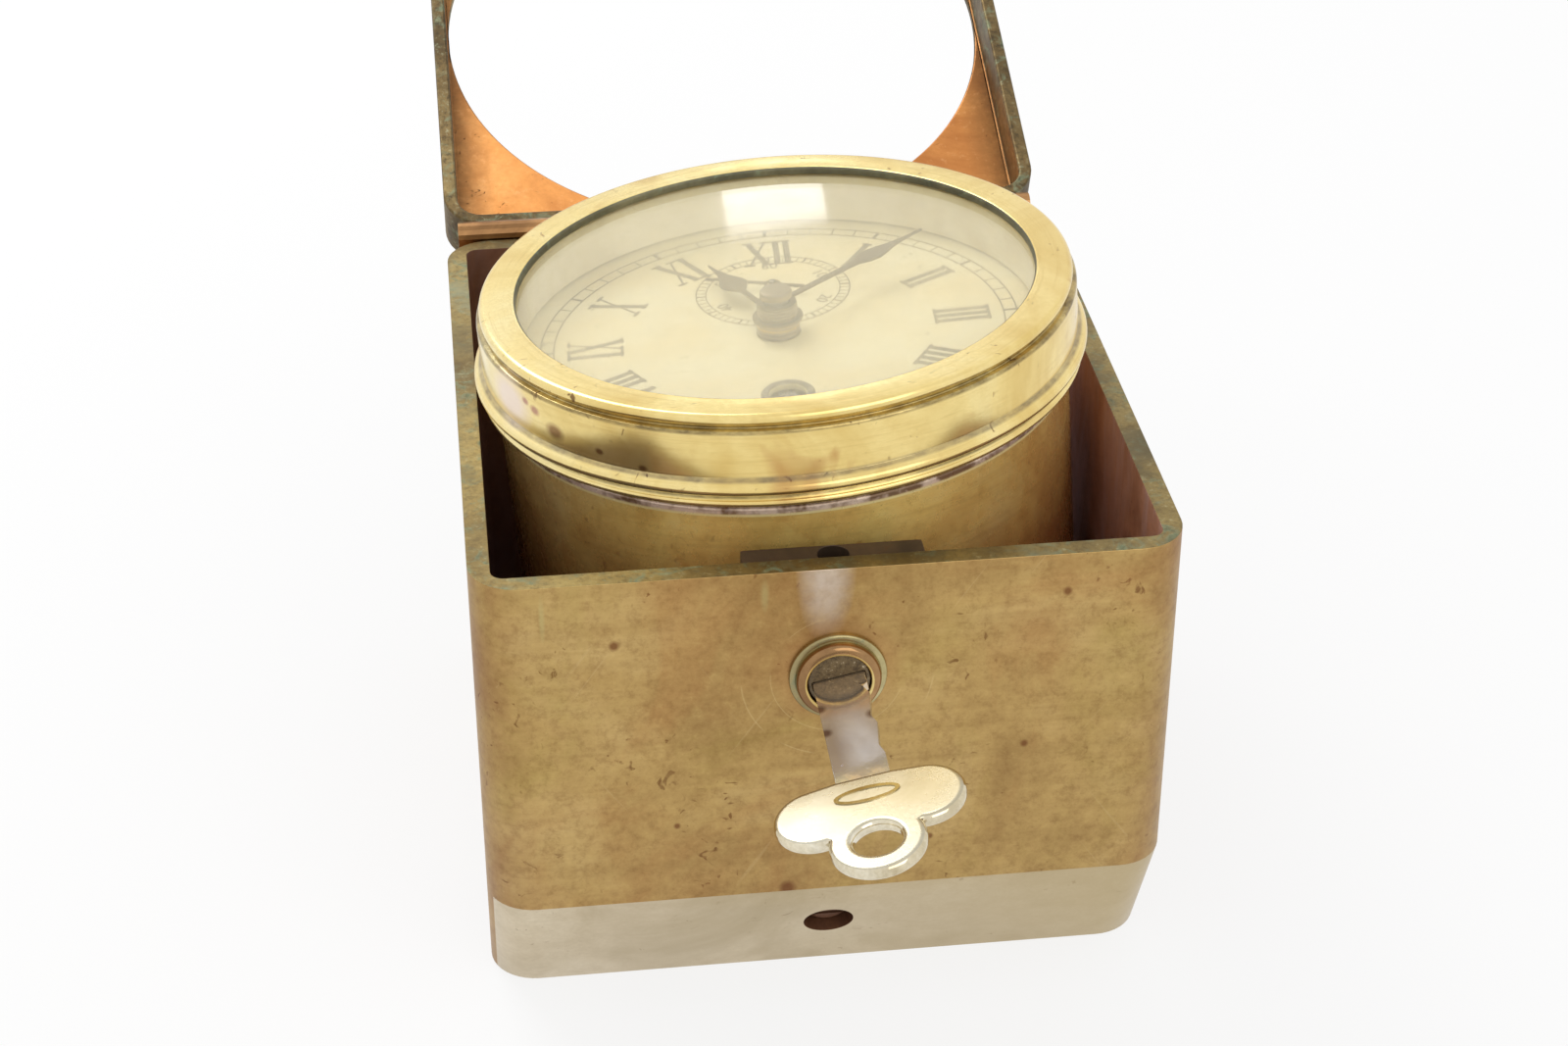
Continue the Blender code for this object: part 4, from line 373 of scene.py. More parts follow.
    def blend(self, share, first, second):
        return self.node("MixShader", {0: share, 1: first.outputs[0], 2: second.outputs[0]})

    def show(self, shader):
        self.tree.links.new(shader.outputs[0], self.tree.nodes["Material Output"].inputs["Surface"])


SPOT_BROWN = (104, 62, 34)
VERDIGRIS = (126, 136, 110)


def aged_brass(
    name, light, middle, dark, rough=(0.32, 0.5), frame_of=None, brushed=(1, 1, 1),
    spots=0.0, green=0.0, metal=1.0,
):
    """Brass gone brown in clouds, with brushing, grain, brown spots and green in the low places."""
    look = Finish(name, metallic=metal)
    own = look.moved(frame_of)
    clouds = look.noise(38, 5.0, 0.6, own, 0.6)
    mottle = look.noise(260, 4.0, 0.65, own)
    grain = look.noise(1500, 3.0, 0.6, look.moved(frame_of, brushed))
    look.paint(look.ramp(clouds, (0.32, dark), (0.5, middle), (0.68, light)))
    look.layer(look.above(mottle, 0.35, 0.75, 0.35), dark)
    look.layer(look.below(grain, 0.35, 0.65, 0.22), dark)
    worn = look.math("MULTIPLY_ADD", mottle, rough[1] - rough[0], rough[0])
    if spots:
        specks = look.noise(420, 2.0, 0.5, own, 1.5)
        patch = look.noise(90, 2.0, 0.5, own)
        mask = look.times(look.above(specks, 0.66, 0.72), look.above(patch, 0.5, 0.6, spots))
        look.layer(mask, SPOT_BROWN)
        worn = look.math("MAXIMUM", worn, look.times(mask, 0.7))
    if green:
        crust = look.noise(260, 5.0, 0.7, own, 0.8)
        mask = look.above(crust, 0.62 - 0.1 * green, 0.74 - 0.08 * green, 0.85)
        look.layer(mask, VERDIGRIS)
        worn = look.math("MAXIMUM", worn, look.times(mask, 0.8))
    look.dull(worn)
    look.bump(look.math("ADD", grain, mottle), 0.10, 0.05 * MM)
    return look


def plain_metal(name, light, dark, rough=(0.25, 0.4), spots=0.0):
    return aged_brass(name, light, light, dark, rough=rough, spots=spots).mat


# Marks on the front wall, in millimetres: across, height, then size or width and length
WALL_SPOTS = ((-6.4, 22.5, 1.5), (-30, 66, 0.9), (27, 45, 0.7), (14, 30, 0.6), (-22, 35, 0.6), (32, 70, 0.8))
WALL_STREAKS = ((-39.5, 71, 0.5, 4.2), (-9.5, 72.5, 0.7, 3.0))
# Width in millimetres of the painted shade at each side of the front wall, where the corners turn away
SHADED_CORNER = 8
HOOPS = (9.4, 13.5)


def front_brass():
    """The outside walls: brown brass, with a painted reflection over the lock, painted shade towards the side
    corners and small brown marks.
    """
    look = aged_brass(
        "case_brown_brass", (206, 176, 118), (194, 162, 103), (170, 138, 86),
        rough=(0.34, 0.52), brushed=(0.06, 0.06, 1.0), spots=0.7,
    )
    hue = look.noise(30, 5.0, 0.65, None, 1.2)
    look.layer(look.below(hue, 0.30, 0.48, 0.45), (168, 118, 72))
    look.layer(look.above(hue, 0.54, 0.72, 0.35), (164, 144, 76))
    fine = look.noise(620, 5.0, 0.75)
    look.layer(look.below(fine, 0.30, 0.52, 0.4), (126, 88, 50))
    look.layer(look.above(fine, 0.55, 0.75, 0.35), (214, 184, 118))
    wipe = look.noise(150, 4.0, 0.7, look.moved(None, (0.05, 0.05, 1.0)))
    look.layer(look.below(wipe, 0.36, 0.5, 0.16), (128, 96, 52))
    edge = BOX_WIDTH / 2 / MM
    # Painted shade: the wall darkens, reddish, towards each side
    for stops in (((-edge, 1.0), (SHADED_CORNER - edge, 0.0)), ((edge - SHADED_CORNER, 0.0), (edge, 1.0))):
        side = look.times(look.along(None, 0, *stops), look.ramp(hue, (0.3, 0.6), (0.7, 0.15)))
        look.layer(side, (134, 84, 54))
    front = -BOX_DEPTH / 2
    # Painted reflection: a pale milky patch high over the lock
    painted_reflection = look.blob((-1.2 * MM, front, BOX_HEIGHT), (4.2, 3, 12), 0.3)
    milky = look.ramp(look.noise(500, 3.0, 0.6), (0.3, 0.45), (0.6, 0.72))
    look.layer(look.times(painted_reflection, milky), (232, 218, 204))
    slant = Matrix.Rotation(math.radians(35), 4, "Y")
    for matrix, scale in ((slant, 1100), (slant.inverted(), 900)):
        hair = look.noise(scale, 1.0, 0.5, look.moved(matrix, (1, 1, 0.03)))
        look.layer(look.above(hair, 0.735, 0.77, 0.18), (214, 188, 136))
    broken = look.above(look.noise(120, 1.0, 0.5), 0.55, 0.6, 0.25)
    for radius in HOOPS:
        look.layer(look.times(look.hoop(LOCK_PLACE, radius), broken), (232, 208, 150))
    for x, z, size in WALL_SPOTS:
        spot = look.blob((x * MM, front, z * MM), (size, 2, size * 1.1), 0.4)
        look.layer(look.times(spot, 0.75), (112, 64, 38))
    for x, z, width, length in WALL_STREAKS:
        streak = look.blob((x * MM, front, z * MM), (width, 2, length), 0.3)
        look.layer(look.times(streak, 0.45), (190, 178, 122))
    ring = look.blob((LOCK_PLACE[0], front, LOCK_PLACE[2] + 0.6 * MM), (9.6, 3, 9.6), 0.6)
    look.layer(look.times(ring, 0.35), (170, 112, 74))
    look.bump(look.math("ADD", fine, wipe), 0.12, 0.05 * MM)
    return look.mat


def foot_brass():
    """The slanting foot: pale brass, deeper in tone towards the right."""
    tones = ((218, 205, 180), (208, 193, 166), (184, 168, 138))
    look = aged_brass("foot_pale_brass", *tones, rough=(0.28, 0.4), spots=0.4)
    look.layer(look.along(None, 0, (-30, 0.0), (20, 0.45), (49, 0.7)), (184, 164, 120))
    return look.mat


def inside_brass():
    """Inner walls: red-brown stain with pale drips, and painted shade that makes them nearly black to the
    left.
    """
    tones = ((232, 184, 160), (202, 150, 126), (148, 102, 82))
    look = aged_brass("inside_stain_and_shade", *tones, rough=(0.35, 0.55), spots=0.4, metal=0.0)
    drips = look.noise(90, 4.0, 0.7, look.moved(None, (1, 1, 0.25)), 0.6)
    look.layer(look.above(drips, 0.44, 0.72, 0.7), (218, 194, 204))
    # Painted shade: nearly black towards the left
    look.layer(look.along(None, 0, (-46, 0.75), (-24, 0.2), (0, 0.0)), (88, 60, 46))
    return look.mat


def rusty_brass():
    tones = ((128, 84, 54), (92, 56, 36), (54, 34, 24))
    return aged_brass("screw_rusty_brass", *tones, rough=(0.45, 0.7), spots=0.8, metal=0.5).mat


def rim_brass():
    """The cut top edge, with fine green and brown crust."""
    tones = ((176, 158, 104), (150, 130, 82), (108, 92, 60))
    look = aged_brass("rim_green_brass", *tones, rough=(0.36, 0.55), green=0.9)
    fine = look.noise(900, 5.0, 0.75)
    look.layer(look.below(fine, 0.36, 0.5, 0.5), (96, 80, 54))
    look.layer(look.above(fine, 0.58, 0.70, 0.4), (196, 188, 148))
    patch = look.noise(95, 4.0, 0.65)
    look.layer(look.below(patch, 0.36, 0.48, 0.6), (104, 96, 72))
    look.layer(look.above(patch, 0.56, 0.68, 0.55), (140, 146, 122))
    return look.mat


def lid_inside_brass():
    """The lid's inside: orange brass, dull and dark where it meets the lid's sides."""
    tones = ((238, 178, 112), (220, 154, 88), (180, 116, 64))
    look = aged_brass("lid_orange_brass", *tones, rough=(0.38, 0.55), frame_of=LID, spots=1.0)
    look.layer(look.below(look.noise(60, 3.0, 0.5), 0.34, 0.5, 0.3), (160, 96, 60))
    fine = look.noise(700, 4.0, 0.7)
    look.layer(look.above(fine, 0.58, 0.74, 0.3), (244, 196, 136))
    ragged = look.ramp(fine, (0.3, 1.0), (0.7, 0.6))
    for axis, width in ((0, BOX_WIDTH), (1, BOX_DEPTH)):
        far = (width / 2 - LID_WALL) / MM
        near_side = ((-far, 0.9), (1.0 - far, 0.75), (6.5 - far, 0.0))
        far_side = ((far - 6.5, 0.0), (far - 1.0, 0.75), (far, 0.9))
        for stops in (near_side, far_side):
            look.layer(look.times(look.along(LID, axis, *stops), ragged), (112, 84, 56))
    return look.mat


def lid_side_brass():
    """The lid's outside: dark olive brass under a fine crust."""
    tones = ((158, 138, 94), (122, 102, 68), (80, 68, 48))
    look = aged_brass("lid_side_green_brass", *tones, rough=(0.42, 0.62), frame_of=LID, green=0.8, spots=0.5)
    fine = look.noise(800, 5.0, 0.75)
    look.layer(look.below(fine, 0.36, 0.5, 0.7), (66, 58, 46))
    look.layer(look.above(fine, 0.57, 0.7, 0.45), (176, 180, 150))
    return look.mat


# Darker lines in the bezel's grooves: heights with their strength, colour and full strength
BEZEL_GROOVE_LINES = (
    (((82.4, 0.0), (82.75, 1.0), (83.3, 1.0), (83.6, 0.0)), (78, 60, 40), 0.85),
    (((75.35, 0.0), (75.6, 1.0), (75.9, 1.0), (76.3, 0.0)), (104, 92, 82), 0.8),
    (((72.7, 0.0), (72.95, 1.0), (73.3, 1.0), (73.55, 0.0)), (92, 78, 44), 0.9),
)

# Marks on the bezel's band: share of the turn, height, size and colour; the large pale one is a painted
# reflection
RUST, ROSE, PALE_REFLECTION = (128, 80, 44), (176, 124, 110), (240, 222, 212)
BEZEL_SPOTS = (
    (0.575, 79.4, 6.5, PALE_REFLECTION),
    (0.615, 78.3, 2.2, RUST),
    (0.60, 80.2, 1.3, ROSE),
    (0.592, 80.9, 1.0, ROSE),
    (0.645, 77.6, 0.9, RUST),
    (0.67, 76.4, 0.9, RUST),
    (0.63, 74.6, 1.3, RUST),
)


def bezel_brass():
    """Polished brass, worn yellow, darker in its grooves, with spots and a painted pale reflection low on the
    left of the band.
    """
    look = aged_brass(
        "bezel_yellow_brass", (253, 238, 180), (248, 226, 156), (224, 194, 118),
        rough=(0.14, 0.26), frame_of=CLOCK, brushed=(1, 1, 4), spots=0.8, metal=0.85,
    )
    patch = look.noise(55, 3.0, 0.6, look.moved(CLOCK), 0.8)
    look.layer(look.above(patch, 0.62, 0.74, 0.6), (176, 116, 62))
    lines = look.noise(1600, 4.0, 0.7, look.turned(CLOCK))
    look.layer(look.below(lines, 0.34, 0.5, 0.2), (196, 160, 84))
    streaks = look.noise(260, 4.0, 0.7, look.moved(CLOCK, (1, 1, 3)))
    for stops, shade, strength in BEZEL_GROOVE_LINES:
        thin = look.ramp(streaks, (0.3, strength), (0.7, 0.35 * strength))
        look.layer(look.times(look.along(CLOCK, 2, *stops), thin), shade)
    for share, height, size, shade in BEZEL_SPOTS:
        angle = 2 * math.pi * share
        spot = CLOCK @ Vector((BEZEL_BAND * math.cos(angle), BEZEL_BAND * math.sin(angle), height * MM))
        look.layer(look.times(look.blob(spot, (size, size, size * 0.7), 0.4), 0.8), shade)
    look.bump(lines, 0.04, 0.03 * MM)
    return look.mat


def drum_brass():
    """Speckled gold-olive, with red-brown painted shade low down and at its sides, a painted highlight line
    under the neck, and blotches of grime with painted highlights in the neck under the bezel.
    """
    look = aged_brass(
        "drum_brass", (255, 236, 158), (250, 220, 130), (218, 174, 92),
        rough=(0.2, 0.34), frame_of=CLOCK, brushed=(1, 1, 5), spots=0.6, metal=0.3,
    )
    fine = look.noise(420, 5.0, 0.75)
    look.layer(look.below(fine, 0.36, 0.5, 0.22), (146, 112, 50))
    look.layer(look.above(fine, 0.56, 0.72, 0.35), (238, 216, 144))
    lines = look.noise(1300, 4.0, 0.7, look.turned(CLOCK))
    look.layer(look.below(lines, 0.34, 0.5, 0.2), (150, 122, 52))
    patch = look.noise(60, 4.0, 0.65, None, 1.0)
    # Painted shade: red-brown in patches, low down where the box shades the drum
    low = look.along(CLOCK, 2, (46, 0.9), (66, 0.0))
    look.layer(look.times(low, look.ramp(patch, (0.3, 1.0), (0.7, 0.3))), (120, 62, 32))
    # Painted shade: red-brown in patches towards the drum's sides
    sides = look.along(CLOCK, 0, (-38, 0.6), (-20, 0.0), (16, 0.0), (38, 0.8))
    look.layer(look.times(sides, look.ramp(patch, (0.3, 1.0), (0.7, 0.5))), (158, 96, 50))
    look.layer(look.above(patch, 0.60, 0.68, 0.45), (178, 116, 50))
    blotch = look.above(look.noise(130, 4.0, 0.7), 0.41, 0.53)
    grime_and_sheen = look.mix(blotch, (104, 72, 68), (236, 214, 200))
    # Painted highlight: a bright line on the drum just under the neck
    look.layer(look.along(CLOCK, 2, (68.9, 0.0), (69.05, 0.8), (69.3, 0.8), (69.45, 0.0)), (255, 240, 176))
    # Blotches of grime in the neck under the bezel, their pale parts painted highlights
    look.layer(look.along(CLOCK, 2, (69.2, 0.0), (69.5, 0.85), (70.5, 0.85), (71.5, 0.15), (74, 0.05)), grime_and_sheen)
    return look.mat


def dial_silver():
    look = Finish("dial_silvering")
    grain = look.noise(2600, 3.0, 0.6)
    look.paint(look.ramp(look.noise(70, 4.0, 0.6), (0.35, (253, 236, 180)), (0.65, (255, 247, 206))))
    look.layer(look.below(grain, 0.4, 0.6, 0.12), (200, 182, 132))
    look.layer(look.above(look.noise(520, 2.0, 0.5), 0.70, 0.76, 0.6), (150, 142, 104))
    low = DIAL_LOW / MM
    look.layer(look.along(CLOCK, 2, (low - 0.2, 0.5), (low + 0.3, 0.0)), (150, 128, 84))
    look.bump(grain, 0.08, 0.03 * MM)
    return look.mat


def dial_ink():
    look = Finish("dial_ink", roughness=0.55)
    look.paint(look.ramp(look.noise(900, 3.0, 0.6), (0.35, (118, 108, 78)), (0.65, (160, 148, 112))))
    return look.mat


def clear_glass():
    """Clear glass with a thin dusty film, which lets the lamps' light through."""
    look = Finish("clock_glass", roughness=0.02)
    look.shader.inputs["Transmission Weight"].default_value = 1.0
    look.shader.inputs["IOR"].default_value = 1.5
    smear = look.noise(60, 4.0, 0.6)
    look.dull(look.ramp(smear, (0.4, 0.03), (0.7, 0.055)))
    film = look.node("BsdfDiffuse", {"Color": colour(255, 243, 200)})
    dusty = look.blend(look.ramp(smear, (0.3, 0.12), (0.75, 0.24)), look.shader, film)
    shadow = look.node("LightPath").outputs["Is Shadow Ray"]
    look.show(look.blend(shadow, dusty, look.node("BsdfTransparent")))
    return look.mat


def seat_wood():
    look = Finish("seat_dark_wood", roughness=0.6)
    rings = look.noise(40, 5.0, 0.6, look.moved(None, (1, 6, 6)), 1.0)
    pores = look.noise(700, 3.0, 0.6, look.moved(None, (0.2, 1, 1)))
    look.paint(look.ramp(rings, (0.35, (74, 46, 28)), (0.65, (112, 74, 46))))
    look.layer(look.below(pores, 0.4, 0.6, 0.4), (40, 24, 15))
    look.bump(pores, 0.2, 0.1 * MM)
    return look.mat


# Shapes


def linked(name, data):
    obj = bpy.data.objects.new(name, data)
    bpy.context.scene.collection.objects.link(obj)
    return obj


def solid(name, bm):
    mesh = bpy.data.meshes.new(name)
    bm.to_mesh(mesh)
    bm.free()
    return linked(name, mesh)


def taken(obj):
    """The shape that the object has with its modifiers, and the object goes."""
    bpy.context.view_layer.update()
    mesh = bpy.data.meshes.new_from_object(obj.evaluated_get(bpy.context.evaluated_depsgraph_get()))
    bm = bmesh.new()
    bm.from_mesh(mesh)
    bpy.data.objects.remove(obj, do_unlink=True)
    return bm


def put(name, bm, body, *materials, place=None, edge=0.0, sharp=35, recalc=True, slot=None):
    """The mesh as a finished piece at the origin, riding on its body."""
    if recalc:
        bmesh.ops.recalc_face_normals(bm, faces=bm.faces)
    if place is not None:
        moved(bm, place)
    obj = solid(name, bm)
    obj.data.shade_smooth()
    obj.data.set_sharp_from_angle(angle=math.radians(sharp))
    for material in materials:
        obj.data.materials.append(material)
    if edge:
        soften(obj, edge)
    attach(obj, body)
    return obj


def soften(obj, width):
    bevel = obj.modifiers.new("Edges", "BEVEL")
    bevel.width = width
    bevel.segments = 2
    bevel.limit_method = "ANGLE"
    bevel.angle_limit = math.radians(EDGE_ANGLE)
    bevel.miter_outer = "MITER_ARC"


def lathe(profile, steps=ROUND, loop=False):
    """A profile of radius and height turned about the upright axis."""
    bm = bmesh.new()
    rings = []
    for radius, height in profile:
        if radius < TINY:
            rings.append([bm.verts.new((0, 0, height))])
            continue
        turn = (2 * math.pi * k / steps for k in range(steps))
        rings.append([bm.verts.new((radius * math.cos(a), radius * math.sin(a), height)) for a in turn])
    pairs = list(zip(rings, rings[1:]))
    if loop:
        pairs.append((rings[-1], rings[0]))
    for upper, lower in pairs:
        for k in range(steps):
            m = (k + 1) % steps
            if len(upper) == 1:
                bm.faces.new((upper[0], lower[k], lower[m]))
            elif len(lower) == 1:
                bm.faces.new((upper[k], lower[0], upper[m]))
            else:
                bm.faces.new((upper[k], lower[k], lower[m], upper[m]))
    return bm


def arc(middle, radius, first, last, steps):
    """Points on an arc, its ends in degrees."""
    turns = (math.radians(first + (last - first) * k / steps) for k in range(steps + 1))
    return [(middle[0] + radius * math.cos(a), middle[1] + radius * math.sin(a)) for a in turns]


def circle(radius, steps=FINE, middle=(0, 0)):
    return arc(middle, radius, 0, 360, steps)[:-1]


def slab(outlines, low, high):
    """A flat shape with its holes, thickened from low to high."""
    curve = bpy.data.curves.new("outline", "CURVE")
    curve.dimensions = "2D"
    curve.fill_mode = "BOTH"
    curve.extrude = (high - low) / 2
    for outline in outlines:
        spline = curve.splines.new("POLY")
        spline.points.add(len(outline) - 1)
        for point, (x, y) in zip(spline.points, outline):
            point.co = (x, y, 0, 1)
        spline.use_cyclic_u = True
    bm = taken(linked("outline", curve))
    bmesh.ops.remove_doubles(bm, verts=bm.verts, dist=TINY)
    return moved(bm, at(z=(low + high) / 2))


def rolled_slab(outlines, thick, roll, steps=5):
    """A flat shape with rolled edges. Outlines gives the shape and its holes for an inset."""
    flat = 0.12 * MM
    bm = bmesh.new()
    turns = [math.pi / 2 * k / steps for k in range(steps + 1)]
    lower = [(roll * (1 - math.sin(a)), roll * (1 - math.cos(a)) - thick / 2) for a in turns]
    lower.insert(0, (roll + flat, -thick / 2))
    levels = lower + [(inset, -z) for inset, z in reversed(lower)]
    rings = []
    for inset, z in levels:
        rings.append([[bm.verts.new((x, y, z)) for x, y in outline] for outline in outlines(inset)])
    for below, above in zip(rings, rings[1:]):
        for old, new in zip(below, above):
            for k in range(len(old)):
                bm.faces.new((old[k - 1], old[k], new[k], new[k - 1]))
    for level in (rings[0], rings[-1]):
        edges = [bm.edges.get((ring[k - 1], ring[k])) for ring in level for k in range(len(ring))]
        bmesh.ops.triangle_fill(bm, use_beauty=True, edges=edges)
    return bm


def rounded_box(width, depth, corner, low, high, steps=10):
    bm = bmesh.new()
    bmesh.ops.create_cube(bm, size=1)
    bmesh.ops.scale(bm, vec=(width, depth, high - low), verts=bm.verts)
    moved(bm, at(z=(low + high) / 2))
    upright = [e for e in bm.edges if abs(e.verts[0].co.z - e.verts[1].co.z) > (high - low) / 2]
    bmesh.ops.bevel(bm, geom=upright, offset=corner, segments=steps, profile=0.5, affect="EDGES")
    return bm


def lean_front(bm):
    """Cuts the block at the foot's rise and leans its front in below that."""
    everything = bm.verts[:] + bm.edges[:] + bm.faces[:]
    bmesh.ops.bisect_plane(bm, geom=everything, plane_co=(0, 0, FOOT_RISE), plane_no=(0, 0, 1))
    for vert in bm.verts:
        if vert.co.z < FOOT_RISE - TINY and vert.co.y < 0:
            vert.co.y += FOOT_RUN * (FOOT_RISE - vert.co.z) / FOOT_RISE
    return bm


def carved(block, *cutters):
    """The block with the cutters taken out, as one mesh."""
    for bm in (block, *cutters):
        bmesh.ops.recalc_face_normals(bm, faces=bm.faces)
    body = solid("block", block)
    tools = [solid("cutter", cutter) for cutter in cutters]
    for tool in tools:
        modifier = body.modifiers.new("Cut", "BOOLEAN")
        modifier.operation = "DIFFERENCE"
        modifier.object = tool
        modifier.solver = "EXACT"
    bm = taken(body)
    for tool in tools:
        bpy.data.objects.remove(tool, do_unlink=True)
    return bm


def rod(radius, low, high, steps=FINE):
    bm = bmesh.new()
    bmesh.ops.create_cone(bm, cap_ends=True, segments=steps, radius1=radius, radius2=radius, depth=high - low)
    return moved(bm, at(z=(low + high) / 2))


def moved(bm, matrix):
    bmesh.ops.transform(bm, matrix=matrix, verts=bm.verts)
    return bm


def joined(*parts):
    """Several meshes in one."""
    whole = bmesh.new()
    for part in parts:
        mesh = bpy.data.meshes.new("part")
        part.to_mesh(mesh)
        part.free()
        whole.from_mesh(mesh)
        bpy.data.meshes.remove(mesh)
    return whole


# Geometry Nodes


def new_tree(name, *sizes):
    """A tree that asks for a count, these sizes and a finish, and the outputs of its start."""
    tree = bpy.data.node_groups.new(name, "GeometryNodeTree")
    kinds = {"Geometry": "Geometry", "Count": "Int", **dict.fromkeys(sizes, "Float"), "Finish": "Material"}
    for label, kind in kinds.items():
        tree.interface.new_socket(label, in_out="INPUT", socket_type="NodeSocket" + kind)
    tree.interface.new_socket("Geometry", in_out="OUTPUT", socket_type="NodeSocketGeometry")
    return tree, tree.nodes.new("NodeGroupInput").outputs


def spread_tree(tree, start, points, piece, **turn):
    """Ends the tree: the piece on every point, smooth, made real and with its finish."""
    inputs = {"Points": points.outputs["Mesh"], "Instance": piece.outputs["Mesh"], **turn}
    shape = wired(tree, "GeometryNodeInstanceOnPoints", inputs).outputs["Instances"]
    for kind in ("GeometryNodeSetShadeSmooth", "GeometryNodeRealizeInstances"):
        shape = wired(tree, kind, {"Geometry": shape}).outputs["Geometry"]
    paint = wired(tree, "GeometryNodeSetMaterial", {"Geometry": shape, "Material": start["Finish"]})
    wired(tree, "NodeGroupOutput", {"Geometry": paint.outputs["Geometry"]})
    return tree


def marks_tree():
    """Equal marks round a circle, such as the minutes of a dial."""
    sizes = ("Mark Length", "Mark Width", "Mark Height")
    tree, start = new_tree("marks round a circle", "Circle Radius", *sizes)
    inputs = {"Vertices": start["Count"], "Radius": start["Circle Radius"]}
    ring = wired(tree, "GeometryNodeMeshCircle", inputs)
    size = wired(tree, "ShaderNodeCombineXYZ", {number: start[label] for number, label in enumerate(sizes)})
    mark = wired(tree, "GeometryNodeMeshCube", {"Size": size.outputs[0]})
    index = wired(tree, "GeometryNodeInputIndex").outputs[0]
    share = wired(tree, "ShaderNodeMath", {0: index, 1: start["Count"]}, operation="DIVIDE").outputs[0]
    angle = wired(tree, "ShaderNodeMath", {0: share, 1: 2 * math.pi}, operation="MULTIPLY").outputs[0]
    turn = wired(tree, "ShaderNodeCombineXYZ", {"Z": angle})
    return spread_tree(tree, start, ring, mark, Rotation=turn.outputs[0])


def ribs_tree():
    """A stack of thin rings up a post."""
    tree, start = new_tree("ribs up a post", "Pitch", "Rib Radius", "Post Radius")
    step = wired(tree, "ShaderNodeCombineXYZ", {"Z": start["Pitch"]})
    line = wired(tree, "GeometryNodeMeshLine", {"Count": start["Count"], "Offset": step.outputs[0]})
    rings = []
    for label, steps in (("Post Radius", FINE), ("Rib Radius", 10)):
        inputs = {"Resolution": steps, "Radius": start[label]}
        rings.append(wired(tree, "GeometryNodeCurvePrimitiveCircle", inputs).outputs["Curve"])
    rib = wired(tree, "GeometryNodeCurveToMesh", {"Curve": rings[0], "Profile Curve": rings[1]})
    return spread_tree(tree, start, line, rib)


def grown(tree, **values):
    """The mesh that a tree makes from the named inputs, underscores for spaces."""
    obj = linked("grown", bpy.data.meshes.new("grown"))
    modifier = obj.modifiers.new("Grow", "NODES")
    modifier.node_group = tree
    sockets = {s.name: s.identifier for s in tree.interface.items_tree if s.in_out == "INPUT"}
    for label, value in values.items():
        modifier[sockets[label.replace("_", " ")]] = value
    return taken(obj)


# Box


def screw_places():
    """The front and the rear base screw, each pointing out of the box."""
    y = -BOX_DEPTH / 2 + FOOT_RUN * (FOOT_RISE - SCREW_Z) / FOOT_RISE
    slope = math.atan2(FOOT_RUN, FOOT_RISE)
    front = at(SCREW_X, y, SCREW_Z) @ Matrix.Rotation(math.pi / 2 + slope, 4, "X")
    return front, at(SCREW_X, BOX_DEPTH / 2, REAR_SCREW_Z) @ Matrix.Rotation(-math.pi / 2, 4, "X")


WALL, FOOT, INSIDE, RIM, SCREW_WALL = range(5)


def side_of(middle, normal):
    """Which finish a face of the box takes."""
    for place in screw_places():
        spot = place.inverted() @ middle
        way = place.inverted().to_3x3() @ normal
        if math.hypot(spot.x, spot.y) < SCREW_HOLE + 5 * NEAR and abs(way.z) < 0.3:
            return SCREW_WALL
    if abs(normal.z) > 0.9:
        return RIM if middle.z > FOOT_RISE else WALL
    leaning = FOOT_RUN * max(FOOT_RISE - middle.z, 0) / FOOT_RISE
    front, rear = leaning - INNER_DEPTH / 2 - NEAR, INNER_DEPTH / 2 + NEAR
    if abs(middle.x) < INNER_WIDTH / 2 + NEAR and front < middle.y < rear:
        return INSIDE
    return FOOT if normal.z < -0.2 and middle.z < FOOT_RISE else WALL


def case_shell():
    """The box, its edges a little worn, with a finish for each of its sides."""
    block = lean_front(rounded_box(BOX_WIDTH, BOX_DEPTH, BOX_CORNER, 0, BOX_HEIGHT))
    room = rounded_box(INNER_WIDTH, INNER_DEPTH, BOX_INNER_CORNER, -OVER, BOX_HEIGHT + OVER, 4)
    holes = [(SCREW_HOLE, place) for place in screw_places()] + [(LOCK_DOME, LOCK)]
    drills = [moved(rod(radius, -BOX_WALL - 2 * OVER, 2 * OVER), place) for radius, place in holes]
    bm = carved(block, lean_front(room), *drills)
    finishes = (front_brass(), foot_brass(), inside_brass(), rim_brass(), rusty_brass())
    shell = put("case_shell", bm, "case", *finishes, recalc=False, edge=BOX_EDGE)
    for face in shell.data.polygons:
        face.material_index = side_of(face.center, face.normal)
    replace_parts(shell, "box_body")


def base_solder(dull):
    """The line of solder that closes the joint between the base plate and the walls."""
    low, high = BASE_TOP - SOLDER_DEEP, BASE_TOP + SOLDER_HIGH
    line = rounded_box(INNER_WIDTH, INNER_DEPTH, BOX_INNER_CORNER, low, high, 4)
    width, depth = INNER_WIDTH - 2 * SOLDER_WIDTH, INNER_DEPTH - 2 * SOLDER_WIDTH
    room = rounded_box(width, depth, BOX_INNER_CORNER, low - OVER, high + OVER, 4)
    bm = carved(lean_front(line), lean_front(room))
    put("base_solder", bm, "case", dull, recalc=False, slot="case_brass")


